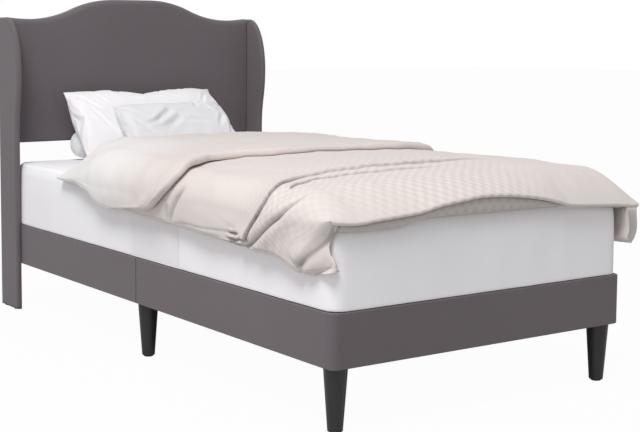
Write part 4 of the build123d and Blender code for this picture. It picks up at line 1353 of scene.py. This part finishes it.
class BED_OT_headboard(bpy.types.Operator):
    """Make the headboard's cloth and its foam, with a soft upper edge"""

    bl_idname = "bed.headboard"
    bl_label = "Headboard"

    def execute(self, context):
        back = panel_high[1] - 0.0002
        outer, inner = panel_wrap(0.0, back), panel_wrap(SKIN, back)
        skin = quilt_shell("headboard_cloth", outer, inner, outer[..., [0, 2]])
        dress(skin, upholstery(), "frame", "headboard_cover")
        foam_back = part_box("headboard_foam")[1][1]
        front = panel_wrap(SKIN + 0.0004, foam_back)
        rear = front.copy()
        rear[..., 1] = foam_back
        share = np.linspace(0, 1, len(front))[:, None]
        rear[..., 2] = front[0, :, 2] + (front[-1, :, 2] - front[0, :, 2]) * share
        foam = quilt_shell("headboard_padding", front, rear, front[..., [0, 2]])
        look = plain_look("foam", (0.75, 0.70, 0.55), 0.95, 300.0, 0.0006)
        dress(foam, look, "frame", "headboard_foam")
        return {"FINISHED"}


def wing_outline():
    """The wing's edge on the YZ plane, from the floor up its front, over the ear, along its top."""
    back = WING_BACK
    foot, ear, shoulder = back - 0.143, back - 0.166, back - 0.059
    top, bottom = wing_high[2], wing_low[2]
    ear_height, waist = top - 0.203, top - 0.433
    rise, step = (ear_height - waist) / 2, (foot - ear) / 2
    radius = (rise**2 + step**2) / (2 * step)
    points = [(foot, z) for z in np.linspace(bottom, waist, 60)]
    for z in np.linspace(0, rise, 24)[1:]:
        points.append((foot - radius + math.sqrt(radius**2 - z**2), waist + z))
    for z in np.linspace(0, rise, 24)[1:]:
        points.append((ear + radius - math.sqrt(radius**2 - (rise - z) ** 2), waist + rise + z))
    for turn in quarter(40)[1:]:
        y = shoulder - (shoulder - ear) * math.cos(turn)
        points.append((y, ear_height + (top - ear_height) * math.sin(turn)))
    points += [(y, top) for y in np.linspace(shoulder, back, 12)[1:]]
    return np.array(points)


def make_wing(name, side):
    """A padded wing: its cloth rolls softly round the edges from one face to the other."""
    outline = wing_outline()
    run = np.gradient(outline, axis=0)
    run /= np.linalg.norm(run, axis=1, keepdims=True)
    outward = np.stack([-run[:, 1], run[:, 0]], axis=1)
    count = len(outline)
    thick, radius = wing_high[0] - wing_low[0], 0.0085
    spine_z = np.linspace(outline[0, 1], outline[-1, 1] - radius, count)
    spine = np.stack([np.full(count, WING_BACK), spine_z], axis=1)
    shares = np.linspace(0, 1, 16)
    turns = quarter(7)
    rows = []
    for point, out, root in zip(outline, outward, spine):
        edge = point - out * radius
        back_round = min(0.003, 0.4 * np.linalg.norm(edge - root))
        section = [(thick / 2, *root)]
        for turn in turns[::-1]:
            y = root[0] - back_round * (1 - math.sin(turn))
            section.append((back_round * (1 - math.cos(turn)), y, root[1]))
        start = root - np.array([back_round, 0])
        section += [(0.0, *(start + (edge - start) * share)) for share in shares[1:]]
        for turn in turns[1:]:
            place = edge + out * radius * math.sin(turn)
            section.append((radius * (1 - math.cos(turn)), *place))
        section += [(thick - x, y, z) for x, y, z in section[::-1]]
        rows.append(section)
    points = np.array(rows)
    middle = points[[0, -1]].copy()
    middle[..., 0] = thick / 2
    points = np.concatenate([middle[:1], points, middle[1:]])
    points[..., 0] = side * (wing_low[0] + points[..., 0])
    return join(name, [grid_piece(name, points, points[..., 1:])], 0.00002)


class BED_OT_wings(bpy.types.Operator):
    """Make the two wings' padded cloth"""

    bl_idname = "bed.wings"
    bl_label = "Wings"

    def execute(self, context):
        for side, word in ((-1, "left"), (1, "right")):
            wing = make_wing("wing_cloth_" + word, side)
            dress(wing, upholstery(), "frame", "wing_cover_" + word)
        return {"FINISHED"}


class BED_OT_upholstery(bpy.types.Operator):
    """Cover the frame's cloth nodes with woven upholstery"""

    bl_idname = "bed.upholstery"
    bl_label = "Upholstery"

    def execute(self, context):
        paint_nodes([name for name in nodes if "_cover" in name], upholstery())
        seam = (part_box("side_cover_left_foot")[1][1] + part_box("side_cover_left_head")[0][1]) / 2
        rails = upholstery_look("rail_upholstery", colours().upholstery, seam)
        paint_nodes(named("side_cover"), rails)
        paint_nodes(["headboard_lining"], plain_look("lining", (0.02, 0.02, 0.021), 0.9, 500.0))
        paint_nodes(["slat_tapes"], plain_look("grip_tape", (0.03, 0.03, 0.032), 0.9, 900.0))
        return {"FINISHED"}


class BED_OT_woodwork(bpy.types.Operator):
    """Give boards, slats, ledges and legs their wood"""

    bl_idname = "bed.woodwork"
    bl_label = "Woodwork"

    def execute(self, context):
        boards = colours().boards
        paint_nodes(named("side_board", "ledge"), wood_look("board_lengthwise", boards, 1, 0.6))
        crosswise = ["footboard_board", "head_rail_board", "headboard_board", "headboard_batten"]
        paint_nodes(crosswise, wood_look("board_crosswise", boards, 0, 0.6))
        upright = named("wing_board", "headboard_stile")
        paint_nodes(upright, wood_look("board_upright", boards, 2, 0.6))
        paint_nodes(named("slats_"), wood_look("slat_wood", colours().slats, 0, 0.5))
        legs = named("leg_front", "leg_middle")
        paint_nodes(legs, wood_look("leg_wood", colours().legs, 2, 0.42, 0.8, 0.25))
        return {"FINISHED"}


class BED_OT_steelwork(bpy.types.Operator):
    """Give the plates, beam, legs, bolts and glides their metal and plastic"""

    bl_idname = "bed.steelwork"
    bl_label = "Steelwork"

    def execute(self, context):
        coated = named("corner_plate", "head_bracket", "joiner_plate", "beam_", "centre_")
        paint_nodes(coated, metal_look("black_steel", (0.022, 0.022, 0.024), 0.0, 0.42))
        bolts = [name for name in nodes if name.endswith(("_bolts", "_screws"))]
        paint_nodes(bolts, metal_look("zinc_steel", (0.62, 0.62, 0.60), 1.0, 0.38))
        feet = named("glides", "levelling_foot")
        paint_nodes(feet, plain_look("black_plastic", (0.018, 0.018, 0.019), 0.5))
        return {"FINISHED"}


# Stage

# Each lamp: its name, place, target, size and power
lamps = (
    ("key", (-3.75, -2.3, 6.6), (0, 0, 0.5), 2.6, 390),
    ("fill", (-5.4, -2.4, 2.2), (0, 0, 0.4), 3.0, 18),
)
CAMERA_PLACE = (-2.4868, -3.5268, 0.9994)
CAMERA_TURN = (math.pi / 2 - 0.090, 0, -0.567)


def make_floor():
    """A wide floor that shows nearly white to the camera and keeps the bed's shadow."""
    deselect()
    bpy.ops.mesh.primitive_plane_add(size=60)
    floor = bpy.context.object
    floor.name = "floor"
    look = Look("floor", 0.9, Base_Color=(0.55, 0.55, 0.55, 1))
    seen = look.node("ShaderNodeLightPath", {}, {}, "Is Camera Ray") * 0.97
    glow = look.node("ShaderNodeEmission", {}, {"Color": WHITE})
    lit = Value(look, look.shader.outputs[0])
    surface = look.node("ShaderNodeMixShader", {}, {0: seen, 1: lit, 2: glow})
    look.link(surface, look.tree.nodes["Material Output"].inputs["Surface"])
    floor.data.materials.append(look.material)


def make_world():
    """A white world: full to the camera and in metal and glass, dimmer as a light."""
    world = bpy.data.worlds.new("studio")
    bpy.context.scene.world = world
    graph = Graph(world)
    background = graph.tree.nodes["Background"]
    background.inputs["Color"].default_value = WHITE
    camera, glossy, glass = (
        graph.node("ShaderNodeLightPath", {}, {}, f"Is {kind} Ray")
        for kind in ("Camera", "Glossy", "Transmission")
    )
    seen = camera.larger(glossy).larger(glass)
    strength = graph.node("ShaderNodeMapRange", {}, {"Value": seen, "To Min": 0.48, "To Max": 1.0})
    graph.link(strength, background.inputs["Strength"])


def stand(name, data, place, turn):
    """Stand a lamp or the camera in the scene."""
    obj = bpy.data.objects.new(name, data)
    bpy.context.scene.collection.objects.link(obj)
    obj.location = place
    obj.rotation_euler = turn
    return obj


class BED_OT_stage(bpy.types.Operator):
    """Set the floor, the soft light and the camera"""

    bl_idname = "bed.stage"
    bl_label = "Stage"

    def execute(self, context):
        scene = context.scene
        make_floor()
        make_world()
        for name, place, target, size, power in lamps:
            lamp = bpy.data.lights.new(name, "AREA")
            lamp.size = size
            lamp.energy = power
            aim = Vector(target) - Vector(place)
            stand(name, lamp, place, aim.to_track_quat("-Z", "Y").to_euler())
        lens = bpy.data.cameras.new("camera")
        lens.sensor_width = 36
        lens.lens = 73.8
        lens.shift_x = 0.164
        lens.shift_y = -0.094
        scene.camera = stand("camera", lens, CAMERA_PLACE, CAMERA_TURN)
        scene.view_settings.view_transform = "Standard"
        return {"FINISHED"}


class BED_PT_panel(bpy.types.Panel):
    """Lists the bed's pieces, sizes and colours"""

    bl_idname = "BED_PT_panel"
    bl_label = "Wingback bed"
    bl_space_type = "VIEW_3D"
    bl_region_type = "UI"
    bl_category = "Bed"

    def draw(self, context):
        layout = self.layout
        for group in (context.scene.bed_colours, context.scene.bed_sizes):
            for name in group.bl_rna.properties.keys():
                if name not in ("rna_type", "name"):
                    layout.prop(group, name)
        for operator in OPERATORS:
            layout.operator(operator.bl_idname)


OPERATORS = (
    BED_OT_upholstery,
    BED_OT_headboard,
    BED_OT_wings,
    BED_OT_woodwork,
    BED_OT_steelwork,
    BED_OT_mattress,
    BED_OT_bolster,
    BED_OT_back_pillow,
    BED_OT_front_pillow,
    BED_OT_duvet,
    BED_OT_stage,
)


def register():
    for group in (BedColours, BedSizes, *OPERATORS, BED_PT_panel):
        bpy.utils.register_class(group)
    bpy.types.Scene.bed_colours = bpy.props.PointerProperty(type=BedColours)
    bpy.types.Scene.bed_sizes = bpy.props.PointerProperty(type=BedSizes)


def unregister():
    del bpy.types.Scene.bed_colours
    del bpy.types.Scene.bed_sizes
    for group in (BED_PT_panel, *reversed(OPERATORS), BedSizes, BedColours):
        bpy.utils.unregister_class(group)


def main():
    register()
    for operator in OPERATORS:
        section, name = operator.bl_idname.split(".")
        getattr(getattr(bpy.ops, section), name)()


if __name__ == "__main__":
    main()
